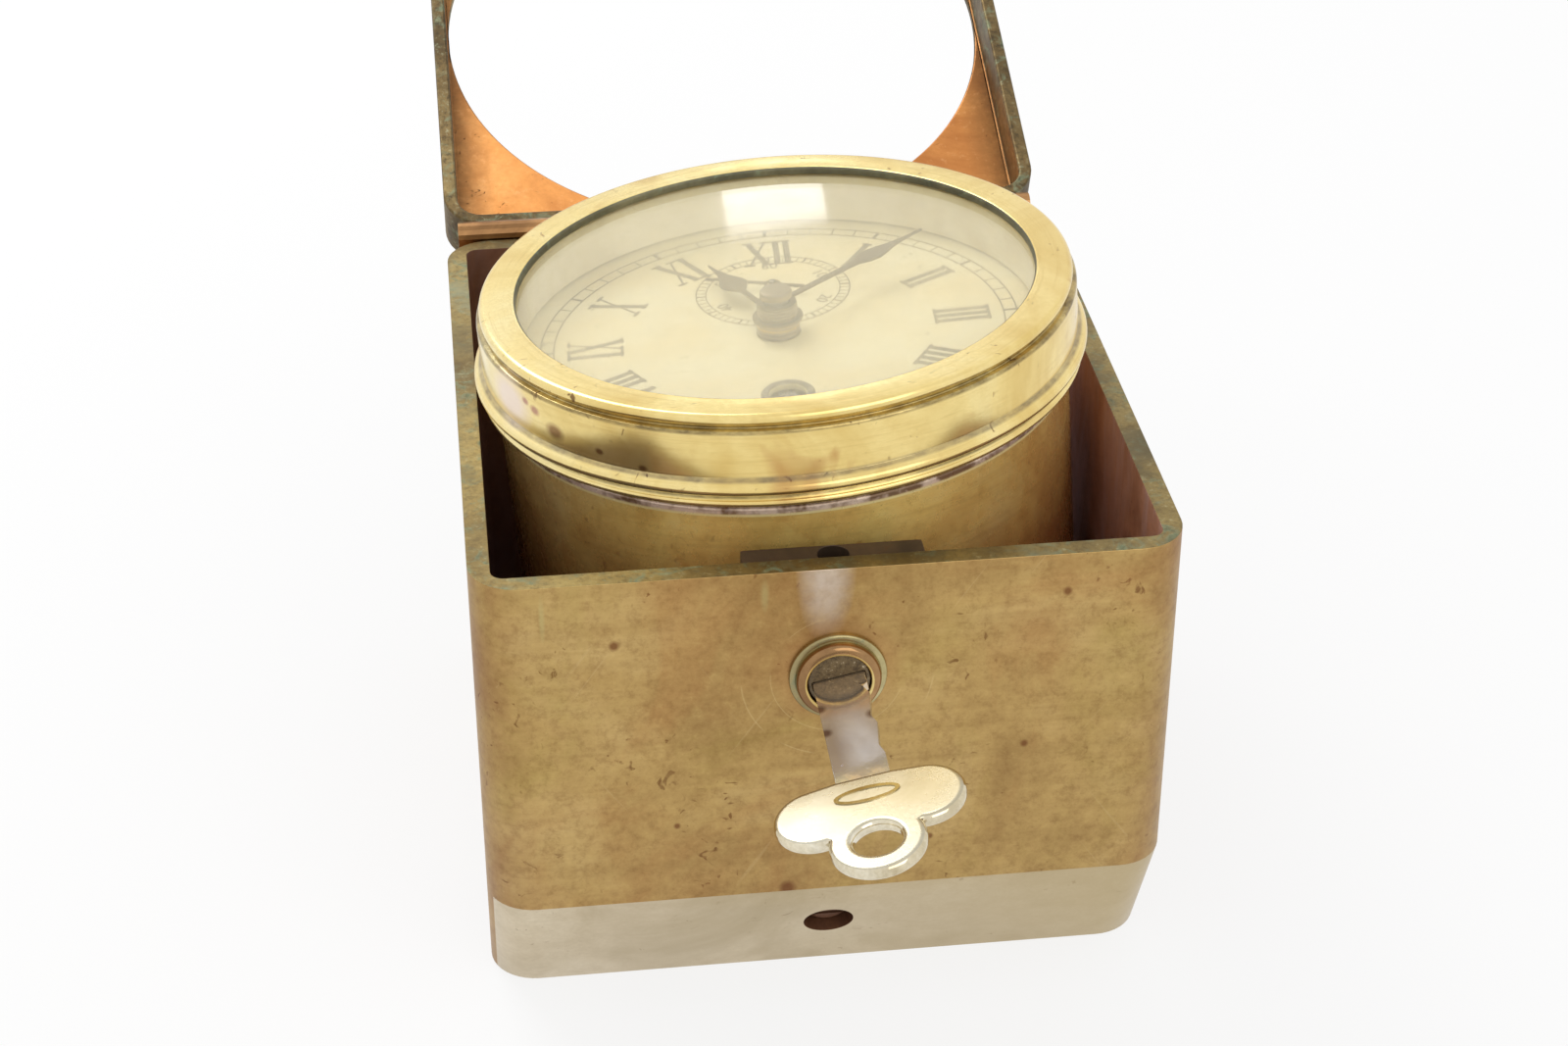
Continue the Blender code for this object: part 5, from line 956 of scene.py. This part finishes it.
def lid_frame():
    """The ring lid, made shut and then laid back."""
    low = BOX_HEIGHT + JOINT_GAP
    top = low + LID_INSIDE + LID_PLATE
    block = rounded_box(BOX_WIDTH, BOX_DEPTH, BOX_CORNER, low, top)
    width, depth = BOX_WIDTH - 2 * LID_WALL, BOX_DEPTH - 2 * LID_WALL
    tray = rounded_box(width, depth, LID_INNER_CORNER, low - OVER, low + LID_INSIDE, 8)
    window = moved(rod(WINDOW_RADIUS, low, top + 2 * OVER, ROUND), at(y=WINDOW_Y))
    bm = carved(block, tray, window)
    inside = [f.index for f in bm.faces if f.normal.z < -0.9 and f.calc_center_median().z > low + OVER]
    finishes = (lid_side_brass(), lid_inside_brass())
    lid = put("lid_frame", bm, "lid", *finishes, place=LID, recalc=False, edge=LID_EDGE)
    for index in inside:
        lid.data.polygons[index].material_index = 1
    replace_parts(lid, "lid_shell")


# Clock case


def repaint(obj, place, index, chosen):
    """Gives the chosen faces, by their middles in the piece's own frame, another finish."""
    back = place.inverted()
    for face in obj.data.polygons:
        if chosen(back @ face.center):
            face.material_index = index


def bezel_profile():
    """The bezel's section from the opening outwards, down the band and up the bore."""
    rim, lip, corner = 0.9 * MM, 0.5 * MM, 0.15 * MM
    groove = BEZEL_TOP - 2.1 * MM
    bead_low, bead_high = BEZEL_FOOT + 1.9 * MM, BEZEL_FOOT + 4.2 * MM
    bead_mid, bead = (bead_low + bead_high) / 2, 0.4 * (bead_high - bead_low)
    chamfer = 0.2 * MM
    profile = arc((BEZEL_OPENING + lip, BEZEL_TOP - lip), lip, 180, 90, 6)
    profile += arc((BEZEL_RIM - rim, BEZEL_TOP - rim), rim, 90, -20, 10)
    profile += [(BEZEL_RIM - 0.42 * MM, groove + 0.45 * MM)]
    profile += arc((BEZEL_RIM - 0.35 * MM, groove + corner), 0.2 * MM, 180, 250, 3)
    profile += arc((BEZEL_BAND - lip, groove - lip), lip, 70, 0, 5)
    profile += [(BEZEL_BAND, bead_high + 0.5 * MM)]
    profile += arc((BEZEL_BAND + corner, bead_high + 0.35 * MM), corner, 180, 250, 3)
    profile += arc((BEZEL_BEAD - bead, bead_mid), bead, 62, -62, 12)
    profile += [(BEZEL_BAND, bead_low - 0.05 * MM)]
    profile += arc((BEZEL_BAND + 0.05 * MM, BEZEL_FOOT + 0.75 * MM), 0.55 * MM, 70, -80, 8)
    profile += [(BEZEL_SKIRT_BORE + chamfer, BEZEL_FOOT), (BEZEL_SKIRT_BORE, BEZEL_FOOT + chamfer)]
    profile += [(BEZEL_SKIRT_BORE, BEZEL_FOOT + BEZEL_SKIRT), (BEZEL_BORE, BEZEL_FOOT + BEZEL_SEAT)]
    return profile + [(BEZEL_BORE, BEZEL_TOP - BEZEL_LIP), (BEZEL_OPENING, BEZEL_TOP - BEZEL_LIP)]


def bezel_ring():
    """The bezel: a rolled rim, a groove, a tall band and a double bead, with painted shade, a dark crusted
    finish, inside its opening.
    """
    # Painted shade: a dark finish with green crust for the wall of the opening
    dark = aged_brass(
        "opening_shaded_brass", (150, 144, 112), (112, 108, 86), (66, 66, 54),
        rough=(0.35, 0.6), green=0.6, metal=0.7,
    )
    bm = lathe(bezel_profile(), 192, loop=True)
    ring = put("bezel_ring", bm, "bezel", bezel_brass(), dark.mat, place=CLOCK, sharp=50)
    repaint(ring, CLOCK, 1, lambda spot: math.hypot(spot.x, spot.y) < BEZEL_OPENING + 0.25 * MM)
    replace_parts(ring, "bezel")


def drum_wall():
    chamfer, shoulder, foot = 0.2 * MM, 0.5 * MM, 0.8 * MM
    floor = DRUM_BOTTOM + DRUM_FLOOR
    profile = [(0, floor), (DRUM_BORE, floor), (DRUM_BORE, NECK_TOP)]
    profile += [(NECK_RADIUS - chamfer, NECK_TOP), (NECK_RADIUS, NECK_TOP - chamfer)]
    profile += [(NECK_RADIUS, DRUM_SHOULDER)]
    profile += arc((DRUM_RADIUS - shoulder, DRUM_SHOULDER - shoulder), shoulder, 90, 0, 5)
    profile += arc((DRUM_RADIUS - foot, DRUM_BOTTOM + foot), foot, 0, -90, 5)
    profile += [(0, DRUM_BOTTOM)]
    drum = put("drum_wall", lathe(profile, 192), "clock", drum_brass(), place=CLOCK)
    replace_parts(drum, "drum_case")


def clock_glass():
    radius, low = BEZEL_BORE - JOINT_GAP, GLASS_TOP - GLASS_THICK
    profile = [(0, GLASS_TOP), (radius - GLASS_ROUND, GLASS_TOP), (radius, GLASS_TOP - GLASS_ROUND)]
    profile += [(radius, low), (0, low)]
    pane = put("glass_pane", lathe(profile, 128), "bezel", clear_glass(), place=CLOCK)
    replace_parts(pane, "glass")


def reflector_ring():
    """Sloping cream ring under the glass."""
    radius = BEZEL_BORE - JOINT_GAP
    top = GLASS_TOP - GLASS_THICK - JOINT_GAP
    look = aged_brass(
        "reflector_cream", (255, 251, 232), (252, 244, 216), (220, 204, 160),
        rough=(0.14, 0.3), frame_of=CLOCK, metal=0.0,
    )
    steps = ((1.7 * MM, 0), (1.7 * MM, 0.6 * MM), (1.3 * MM, 1.6 * MM))
    profile = [(radius - 0.7 * MM, top), (radius, top), (radius, RING_FOOT)]
    profile += [(radius - inward, RING_FOOT + up) for inward, up in steps]
    ring = put("reflector_ring", lathe(profile, loop=True), "bezel", look.mat, place=CLOCK)
    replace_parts(ring, "glass_ring")


# Dial


def bar(x0, y0, x1, y1, width):
    """A straight stroke as a flat four-sided outline."""
    way = Vector((x1 - x0, y1 - y0)).normalized()
    side = Vector((-way.y, way.x)) * width / 2
    ends = ((x0, y0, 1), (x0, y0, -1), (x1, y1, -1), (x1, y1, 1))
    return [(x + hand * side.x, y + hand * side.y) for x, y, hand in ends]


# Shares of a numeral's height
THICK = 0.115
THIN = 0.032
SERIF = 0.10
WIDE = {"I": 0.19, "V": 0.52, "X": 0.52}


def letter_strokes(letter, x):
    """Strokes of one numeral letter, one unit high, its left side at x."""
    wide = WIDE[letter]
    middle = x + wide / 2
    foot = (THIN, 1 - THIN)
    if letter == "I":
        return [bar(middle, 0, middle, 1, THICK)] + [bar(x, h, x + wide, h, THIN * 1.6) for h in foot]
    left, right = x + SERIF, x + wide - SERIF
    if letter == "V":
        strokes = [bar(left, 1, middle, 0.02, THICK), bar(right, 1, middle, 0.02, THIN * 1.3)]
        return strokes + [bar(c - SERIF, foot[1], c + SERIF, foot[1], THIN * 1.6) for c in (left, right)]
    strokes = [bar(left, 1, right, 0, THICK), bar(right, 1, left, 0, THIN * 1.3)]
    return strokes + [bar(c - SERIF, h, c + SERIF, h, THIN * 1.6) for c in (left, right) for h in foot]


def numeral(text, hour):
    """One hour's numeral, its feet towards the middle of the dial."""
    parts, x = [], -sum(WIDE[letter] for letter in text) / 2
    for letter in text:
        for stroke in letter_strokes(letter, x):
            points = [(px * NUMERAL_HIGH, NUMERAL_FOOT + py * NUMERAL_HIGH) for px, py in stroke]
            parts.append(moved(slab([points], *INK), clockwise(hour / 12)))
        x += WIDE[letter]
    return parts


def line_ring(radius, width, up=0):
    """A printed circle, its middle this far up the dial."""
    return slab([circle(radius + width / 2, 96, (0, up)), circle(radius - width / 2, 96, (0, up))], *INK)


def small_figures():
    """The tens of the seconds dial, set round it."""
    parts = []
    for index in range(6):
        curve = bpy.data.curves.new("figure", "FONT")
        curve.body = str(index * 10 or 60)
        curve.size = FIGURE_HIGH
        curve.extrude = INK_HIGH / 2
        curve.align_x = "CENTER"
        curve.align_y = "CENTER"
        middle = at(0, SECONDS_REACH, DIAL_TOP + INK_HIGH / 2)
        place = middle @ clockwise(index / 6) @ at(0, SECONDS_TRACK - FIGURE_DROP)
        parts.append(moved(taken(linked("figure", curve)), place))
    return parts


def mark_rings(marks, finish):
    """The minute marks with their wide fives, and the same for the seconds."""
    band, middle = TRACK_OUTER - TRACK_INNER, (TRACK_INNER + TRACK_OUTER) / 2
    seconds = SECONDS_TRACK - SECONDS_BAND / 2
    rings = (
        (0, middle, 60, band, 0.16 * MM),
        (0, middle, 12, band * 1.1, 0.5 * MM),
        (SECONDS_REACH, seconds, 60, SECONDS_BAND, 0.12 * MM),
        (SECONDS_REACH, seconds, 12, SECONDS_BAND, 0.3 * MM),
    )
    parts = []
    for up, radius, count, length, width in rings:
        sizes = {"Circle_Radius": radius, "Mark_Length": length, "Mark_Width": width, "Mark_Height": INK_HIGH}
        ring = grown(marks, Count=count, Finish=finish, **sizes)
        parts.append(moved(ring, at(0, up, DIAL_TOP + INK_HIGH / 2)))
    return parts


def dial_plate():
    """The silvered plate with its holes, on three feet."""
    seconds, winding = (0, SECONDS_REACH), (0, -WINDING_REACH)
    outlines = [circle(DIAL_RADIUS, 192), circle(CENTRE_HOLE)]
    outlines += [circle(SECONDS_HOLE, 24, seconds), circle(WINDING_HOLE, 48, winding)]
    spots = arc((0, 0), DIAL_FEET, 30, 270, 2)
    feet = [moved(rod(FOOT_RADIUS, FOOT_LOW, DIAL_LOW + 0.1 * MM, 24), at(*spot)) for spot in spots]
    plate = joined(slab(outlines, DIAL_LOW, DIAL_TOP), *feet)
    face = put("dial_plate", plate, "clock", dial_silver(), place=CLOCK)
    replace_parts(face, "dial")


def dial_printing(marks):
    """Numerals, tracks, figures and marks in one piece."""
    names = ("XII", "I", "II", "III", "IIII", "V", "VI", "VII", "VIII", "IX", "X", "XI")
    printing = [part for hour, text in enumerate(names) for part in numeral(text, hour)]
    printing += [line_ring(radius, 0.22 * MM) for radius in (TRACK_INNER, TRACK_OUTER)]
    printing.append(line_ring(SECONDS_TRACK, 0.2 * MM, SECONDS_REACH))
    printing.append(line_ring(SECONDS_TRACK - SECONDS_BAND, 0.14 * MM, SECONDS_REACH))
    printing += small_figures()
    finish = dial_ink()
    printing += mark_rings(marks, finish)
    put("dial_printing", joined(*printing), "clock", finish, place=CLOCK, recalc=False, slot="dial_face")


def winding_eyelet():
    """Nickel ring round the winding hole: radii and heights over the dial, in millimetres."""
    section = ((2.75, 0), (2.9, 0.3), (3.6, 0.3), (3.9, 0.02))
    bm = lathe([(radius * MM, DIAL_TOP + high * MM) for radius, high in section], 64, loop=True)
    nickel = plain_metal("eyelet_nickel", (170, 164, 150), (120, 114, 100))
    put("winding_eyelet", bm, "clock", nickel, place=CLOCK @ at(0, -WINDING_REACH), slot="steel")


# Hands, as shares of the length along and of the spade's half width across
HOUR_SPADE = (
    (0.46, 0.20), (0.50, 0.24), (0.54, 0.60), (0.60, 1.0),
    (0.66, 0.96), (0.72, 0.66), (0.78, 0.36), (0.86, 0.14),
)
MINUTE_SPADE = (
    (0.50, 0.30), (0.54, 0.36), (0.60, 0.85), (0.66, 1.0),
    (0.71, 0.80), (0.77, 0.45), (0.83, 0.22), (0.9, 0.12),
)


def spade_outline(length, boss, spine, wide, rows):
    """A hand along +X: round boss, thin spine, spade and long point, in millimetres."""
    half = [(boss * 0.95, spine)] + [(length * along, wide * across) for along, across in rows]
    half.append((length, 0.06))
    back = arc((0, 0), boss, 341, 19, 24)
    return [(x * MM, y * MM) for x, y in half + [(x, -y) for x, y in reversed(half)] + back]


def clock_hands():
    steel = plain_metal("hand_dark_steel", (132, 118, 92), (88, 76, 58), rough=(0.3, 0.5))
    hour = spade_outline(21.5, 3.75, 0.45, 2.1, HOUR_SPADE)
    minute = spade_outline(31.2, 2.95, 0.42, 1.55, MINUTE_SPADE)
    for name, outline, bore, level, share, body, node in (
        ("hour_hand_spade", hour, 2.8 * MM, HOUR_LEVEL, HOUR_SHARE, "hour_hand", "hour_hand"),
        ("minute_hand_spade", minute, 2.0 * MM, MINUTE_LEVEL, MINUTE_SHARE, "minute_hand", "minute_hand"),
    ):
        bm = slab([outline, circle(bore, 32)], level, level + HAND_THICK)
        place = CLOCK @ clockwise(share - 0.25)
        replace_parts(put(name, bm, body, steel, place=place, edge=HAND_EDGE), node)
    tip, tail = 0.1 * MM, 0.35 * MM
    needle = [(NEEDLE_LENGTH, tip)] + arc((0, 0), NEEDLE_BOSS, 12, 168, 12) + [(-NEEDLE_TAIL, tail)]
    needle += [(-NEEDLE_TAIL, -tail)] + arc((0, 0), NEEDLE_BOSS, 192, 348, 12) + [(NEEDLE_LENGTH, -tip)]
    bm = slab([needle, circle(0.8 * MM, 24)], SECONDS_LEVEL, SECONDS_LEVEL + NEEDLE_THICK)
    place = CLOCK @ at(0, SECONDS_REACH) @ clockwise(SECONDS_SHARE - 0.25)
    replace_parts(put("seconds_needle", bm, "seconds", steel, place=place), "seconds_hand")


def hand_post(ribs):
    """Ribbed collars round the pipes under the hands, and the nut on top."""
    metal = plain_metal("post_brown_steel", (176, 162, 138), (112, 98, 80), rough=(0.25, 0.45))
    for name, body, low, pitch, rib, post in (
        ("hour_post_ribs", "hour_hand", 75.4 * MM, 0.7 * MM, 0.34 * MM, 2.9 * MM),
        ("minute_post_ribs", "minute_hand", 78.25 * MM, 0.56 * MM, 0.27 * MM, 2.75 * MM),
    ):
        stack = grown(ribs, Count=3, Pitch=pitch, Rib_Radius=rib, Post_Radius=post, Finish=metal)
        put(name, moved(stack, at(z=low)), body, metal, place=CLOCK, slot="steel")
    corner, well = 0.5 * MM, NUT_TOP - 0.3 * MM
    nut = [(0, NUT_TOP)] + arc((NUT_RADIUS - corner, NUT_TOP - corner), corner, 90, 0, 5)
    nut += [(NUT_RADIUS, NUT_LOW), (NUT_BORE, NUT_LOW), (NUT_BORE, well), (0, well)]
    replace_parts(put("post_nut", lathe(nut, 64), "minute_hand", metal, place=CLOCK), "hand_nut")


# Lock and key


def lock_collar():
    """Flange, domed collar and rolled lip."""
    tones = ((200, 164, 120), (176, 138, 94), (124, 92, 62))
    collar = aged_brass("lock_collar_brass", *tones, rough=(0.1, 0.22))
    lip = aged_brass("lock_lip_brass", (244, 228, 168), (228, 206, 138), (190, 160, 96), rough=(0.08, 0.2))
    flange = aged_brass(
        "lock_flange_pale", (214, 206, 162), (190, 178, 130), (140, 124, 88), rough=(0.2, 0.4), green=0.6,
    )
    roll, dome, rim = 0.3 * MM, 0.95 * MM, 0.35 * MM
    seat = 0.02 * MM
    profile = arc((LOCK_BORE + roll, LOCK_DOME_HIGH - roll), roll, 180, 20, 8)
    profile += arc((LOCK_DOME - dome, LOCK_DOME_HIGH - 1.0 * MM), dome, 96, 0, 12)
    profile += [(LOCK_DOME, 0.95 * MM), (LOCK_DOME + 0.1 * MM, 0.75 * MM)]
    profile += arc((LOCK_FLANGE - rim, 0.4 * MM), rim, 90, 0, 5)
    profile += [(LOCK_FLANGE, seat), (LOCK_BODY, seat), (LOCK_BODY, -LOCK_DEEP), (LOCK_BORE, -LOCK_DEEP)]
    bm = lathe(profile, 96, loop=True)
    ring = put("lock_collar", bm, "case", collar.mat, lip.mat, flange.mat, place=LOCK, sharp=50)
    repaint(ring, LOCK, 1, lambda spot: spot.z > 0 and math.hypot(spot.x, spot.y) < LOCK_BORE + roll)
    repaint(ring, LOCK, 2, lambda spot: math.hypot(spot.x, spot.y) > LOCK_DOME + seat)
    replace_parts(ring, "lock_cylinder")


def plug_face():
    """The pitted plug with its keyway."""
    look = aged_brass(
        "plug_dull_brass", (176, 160, 124), (140, 122, 90), (84, 70, 50),
        rough=(0.3, 0.55), spots=0.5, metal=0.35,
    )
    pits = look.noise(1300, 4.0, 0.8)
    look.layer(look.below(pits, 0.40, 0.5, 0.8), (70, 58, 44))
    look.layer(look.above(pits, 0.60, 0.68, 0.8), (222, 212, 184))
    look.bump(pits, 0.35, 0.1 * MM)
    width, thick = KEY_WIDE + 0.16 * MM, KEY_THICK + 0.3 * MM
    keyway = rounded_box(width, thick, 0.2 * MM, PLUG_FACE - KEYWAY_DEEP, PLUG_FACE + OVER, 2)
    bm = carved(rod(PLUG_RADIUS, -PLUG_DEEP, PLUG_FACE, 96), keyway)
    plug = put("plug_face", bm, "plug", look.mat, place=PLUG, recalc=False, edge=LOCK_EDGE)
    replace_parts(plug, "lock_plug")


def lock_box():
    """The lock's case behind the wall, with the catch hole, the cylinder's bore and the bolt's channel."""
    look = aged_brass(
        "lock_case_brass", (132, 108, 82), (106, 84, 62), (66, 52, 40),
        rough=(0.4, 0.6), spots=0.6, metal=0.5,
    )
    middle = at(LOCK_PLACE[0], CATCH_Y)
    block = moved(rounded_box(CASE_WIDTH, CASE_THICK, 0.4 * MM, CASE_FOOT, CASE_TOP, 3), middle)
    well = moved(rod(CATCH_HOLE, CASE_TOP - CATCH_DEEP, CASE_TOP + OVER), middle)
    bore = moved(rod(CYLINDER_ROOM, -4 * CASE_THICK, 0), LOCK)
    low, high = BOLT_LEVEL - BOLT_ROOM[1] / 2, BOLT_LEVEL + BOLT_ROOM[1] / 2
    channel = rounded_box(BOLT_RUN, BOLT_ROOM[0], 0.1 * MM, low, high, 1)
    bm = carved(block, well, bore, moved(channel, middle @ at(BOLT_RUN / 2)))
    box = put("lock_box", bm, "case", look.mat, recalc=False, edge=LOCK_EDGE)
    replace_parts(box, "lock_case")


# Marks on the key, in millimetres: out and across with a size; and painted light on the bow: across and size
# with strength and colour
BLADE_SPOTS = ((11.5, 3.4, 1.3), (13.5, -3.4, 1.1), (8.0, -3.5, 1.1))
# Painted light on the bow: a pale reflection to the left, yellower painted shade in the middle and to the
# right
BOW_PAINTED_LIGHT = (
    (-8.0, 8.0, 0.3, (226, 222, 208)),
    (7.5, 9.0, 0.45, (176, 160, 118)),
    (0.0, 7.0, 0.25, (200, 186, 148)),
)

# Cuts in the blade, as shares of its length and its width
KEY_CUTS = ((0.28, 0.0), (0.30, 0.10), (0.36, 0.0), (0.52, 0.09), (0.58, 0.0), (0.74, 0.07), (0.80, 0.0))


def blade_finish():
    """Bright metal, rough at the bow, with a painted warm reflection of the plug near it, and brown spots."""
    look = aged_brass(
        "blade_bright_steel", (230, 236, 240), (220, 225, 230), (190, 192, 196),
        rough=(0.05, 0.14), spots=0.9, metal=0.8,
    )
    joint = look.blob(PLUG @ Vector((0, 0, BOW_START - 0.3 * MM)), (5, 1.6, 3), 0.5)
    burr = look.ramp(look.noise(900), (0.4, 0.2), (0.6, 1.0))
    look.layer(look.times(joint, burr), (250, 246, 236))
    # Painted reflection: warmer near the plug, which the blade mirrors
    look.layer(look.along(PLUG, 2, (4, 0.9), (7.5, 0.7), (10.5, 0.0)), (216, 192, 156))
    for out, across, size in BLADE_SPOTS:
        middle = PLUG @ Vector((across * MM, KEY_THICK / 2, out * MM))
        look.layer(look.times(look.blob(middle, (size,) * 3, 0.4), 0.8), (96, 66, 58))
    return look.mat


def bow_finish():
    """Worn nickel, with painted light: a pale reflection to the left, yellower and darker towards the right.
    """
    tones = ((213, 208, 190), (200, 193, 172), (166, 157, 130))
    look = aged_brass("bow_worn_nickel", *tones, rough=(0.2, 0.36), spots=0.1)
    for across, size, strength, painted_tone in BOW_PAINTED_LIGHT:
        middle = PLUG @ Vector((across * MM, 0, 31 * MM))
        look.layer(look.times(look.blob(middle, (size,) * 3, 0.2), strength), painted_tone)
    return look.mat


def bow_outlines(inset):
    """The bow, drawn in by the inset: two side lobes and the lobe with the eye, then the eye itself."""
    eye = (0, BOW_END - EYE_RING)
    lobe = (BOW_WIDE / 2 - BOW_LOBE, BOW_START + BOW_LOBE + 0.5 * MM)
    half = [(KEY_WIDE / 2, BOW_START + inset)]
    half += arc(lobe, BOW_LOBE - inset, -85, 100, 28)
    half += arc(eye, EYE_RING - inset, -18, 82, 20)
    half.append((0, BOW_END - inset))
    return [half + [(-x, y) for x, y in reversed(half[:-1])], circle(EYE + inset, FINE, eye)]


def key_bow(edge):
    """The bow with its rolled edge."""
    bm = rolled_slab(bow_outlines, BOW_THICK, BOW_ROLL)
    key = put("key_bow", bm, "key", bow_finish(), edge, place=KEY)
    repaint(key, KEY, 1, lambda spot: abs(spot.z) < BOW_THICK / 2 - 0.12 * MM)
    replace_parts(key, "key")


def bow_ovals(edge):
    """The raised oval on each face of the bow."""
    sizes = (OVAL_OUTER, OVAL_INNER)
    outlines = [[(x * across, OVAL_Y + y * along) for x, y in circle(1, 64)] for across, along in sizes]
    sunk, raised = 0.49 * BOW_THICK, BOW_THICK / 2 + OVAL_HIGH
    for name, low, high in (("bow_oval_top", -raised, -sunk), ("bow_oval_under", sunk, raised)):
        put(name, slab(outlines, low, high), "key", edge, place=KEY, slot="key_metal")


def key_blade():
    """The blade with its cuts, its tip deep in the plug."""
    tip, end, half = PLUG_FACE - KEY_DEEP, BOW_START + 2 * MM, KEY_WIDE / 2
    cuts = [(half - KEY_WIDE * deep, tip + (end - tip) * along) for along, deep in KEY_CUTS]
    outline = [(half, tip), *cuts, (half, end), (-half, end), (-half, tip)]
    blade = slab([outline], -KEY_THICK / 2, KEY_THICK / 2)
    put("key_blade", blade, "key", blade_finish(), place=KEY, edge=BLADE_EDGE, slot="key_metal")


def flat_key():
    """Nickelled key: bright blade with worn edges, yellowed bow with a bare oval."""
    tones = ((250, 246, 230), (226, 214, 184), (150, 132, 96))
    edge = aged_brass("bow_edge_chrome", *tones, rough=(0.04, 0.12), spots=0.4).mat
    key_bow(edge)
    key_blade()
    bow_ovals(edge)


# Carried-over pieces

WORKS = (
    "back_plate", "front_plate", *(f"plate_pillar_{number}" for number in range(1, 5)), "hairspring_stud",
    "barrel", "barrel_cap", "centre_wheel", "third_wheel", "fourth_wheel", "escape_wheel", "balance_wheel",
    "minute_wheel", "hour_wheel",
)
STEEL = (
    "hinge_pin", *(f"{leaf}_leaf_screw_{side}" for leaf in ("box", "lid") for side in ("left", "right")),
    "catch_post", "lock_bolt", "click_screw", "minute_post", "winding_arbor", "ratchet_wheel", "click",
    "centre_arbor", "third_arbor", "fourth_arbor", "escape_arbor", "pallet_lever", "balance_staff",
    "cannon_pinion",
)


def dress_frame():
    """Finishes for the CAD pieces that show as they are."""
    tones = ((226, 186, 132), (186, 140, 92), (120, 88, 58))
    hinge = aged_brass("hinge_brown_brass", *tones, rough=(0.25, 0.4), green=0.15)
    tones = ((154, 120, 80), (128, 98, 64), (86, 66, 44))
    base = aged_brass("base_dull_brass", *tones, rough=(0.4, 0.6), spots=0.5)
    tones = ((232, 204, 128), (214, 184, 108), (176, 142, 76))
    works = aged_brass("movement_brass", *tones, rough=(0.2, 0.36), brushed=(0.3, 3, 1))
    steel = plain_metal("movement_steel", (176, 174, 172), (128, 124, 122), rough=(0.2, 0.35), spots=0.3)
    blue = plain_metal("spring_blue_steel", (70, 76, 110), (40, 44, 70), rough=(0.2, 0.3))
    base_solder(base.mat)
    groups = (
        (hinge.mat, ("hinge_leaf_box", "hinge_leaf_lid")),
        (bpy.data.materials["screw_rusty_brass"], ("base_screw_front", "base_screw_rear")),
        (base.mat, ("base_plate",)),
        (seat_wood(), ("seat_block",)),
        (blue, ("hairspring", "mainspring", "click_spring")),
        (works.mat, WORKS),
        (steel, STEEL),
    )
    for material, names in groups:
        for name in names:
            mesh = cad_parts[name].data
            mesh.materials.clear()
            mesh.materials.append(material)


# Stage


def white_table():
    """A white table, which glows where it is seen directly or in a reflection."""
    bm = bmesh.new()
    bmesh.ops.create_grid(bm, x_segments=1, y_segments=1, size=3.0)
    table = solid("table", bm)
    look = Finish("table_white", roughness=0.9)
    look.shader.inputs["Base Color"].default_value = (TABLE_GREY, TABLE_GREY, TABLE_GREY, 1.0)
    ray = look.node("LightPath").outputs
    bounced = look.math("MAXIMUM", ray["Is Glossy Ray"], ray["Is Transmission Ray"])
    seen = look.times(look.math("MAXIMUM", ray["Is Camera Ray"], bounced), TABLE_GLOW)
    look.show(look.blend(seen, look.shader, look.node("Emission")))
    table.data.materials.append(look.mat)


def white_room():
    """A room that looks white itself, but lights the part less."""
    room = bpy.data.worlds.new("white room")
    bpy.context.scene.world = room
    room.use_nodes = True
    tree = room.node_tree
    ray = wired(tree, "ShaderNodeLightPath").outputs
    seen = ray["Is Camera Ray"]
    for name in ("Is Glossy Ray", "Is Transmission Ray"):
        seen = wired(tree, "ShaderNodeMath", {0: seen, 1: ray[name]}, operation="MAXIMUM").outputs[0]
    level = wired(tree, "ShaderNodeMapRange", {"Value": seen, "To Min": ROOM_LIGHT, "To Max": 1.0})
    back = tree.nodes["Background"]
    back.inputs["Color"].default_value = (1, 1, 1, 1)
    tree.links.new(level.outputs["Result"], back.inputs["Strength"])


def lamps():
    """Soft light from above and behind, a fill from the front and the glint on the glass."""
    for name, place, width, height, power in LAMPS:
        light = bpy.data.lights.new(name, "AREA")
        light.shape = "RECTANGLE"
        light.size = width
        light.size_y = height
        light.energy = power
        obj = linked(name, light)
        obj.location = place
        obj.rotation_euler = (Vector((0, 0, LAMP_AIM)) - Vector(place)).to_track_quat("-Z", "Y").to_euler()


def camera():
    data = bpy.data.cameras.new("camera")
    data.lens = CAMERA_LENS
    data.sensor_width = CAMERA_SENSOR
    data.clip_start = 10 * MM
    eye = linked("camera", data)
    eye.location = CAMERA_PLACE
    tilt = Matrix.Rotation(math.pi / 2 - CAMERA_DIP, 4, "X")
    eye.rotation_euler = (Matrix.Rotation(CAMERA_TURN, 4, "Z") @ tilt).to_euler()
    bpy.context.scene.camera = eye


def build():
    bpy.context.scene.view_settings.view_transform = "Standard"
    marks = marks_tree()
    ribs = ribs_tree()
    case_shell()
    dress_frame()
    lid_frame()
    drum_wall()
    bezel_ring()
    clock_glass()
    reflector_ring()
    dial_plate()
    dial_printing(marks)
    winding_eyelet()
    clock_hands()
    hand_post(ribs)
    lock_collar()
    plug_face()
    lock_box()
    flat_key()
    white_table()
    white_room()
    lamps()
    camera()


build()
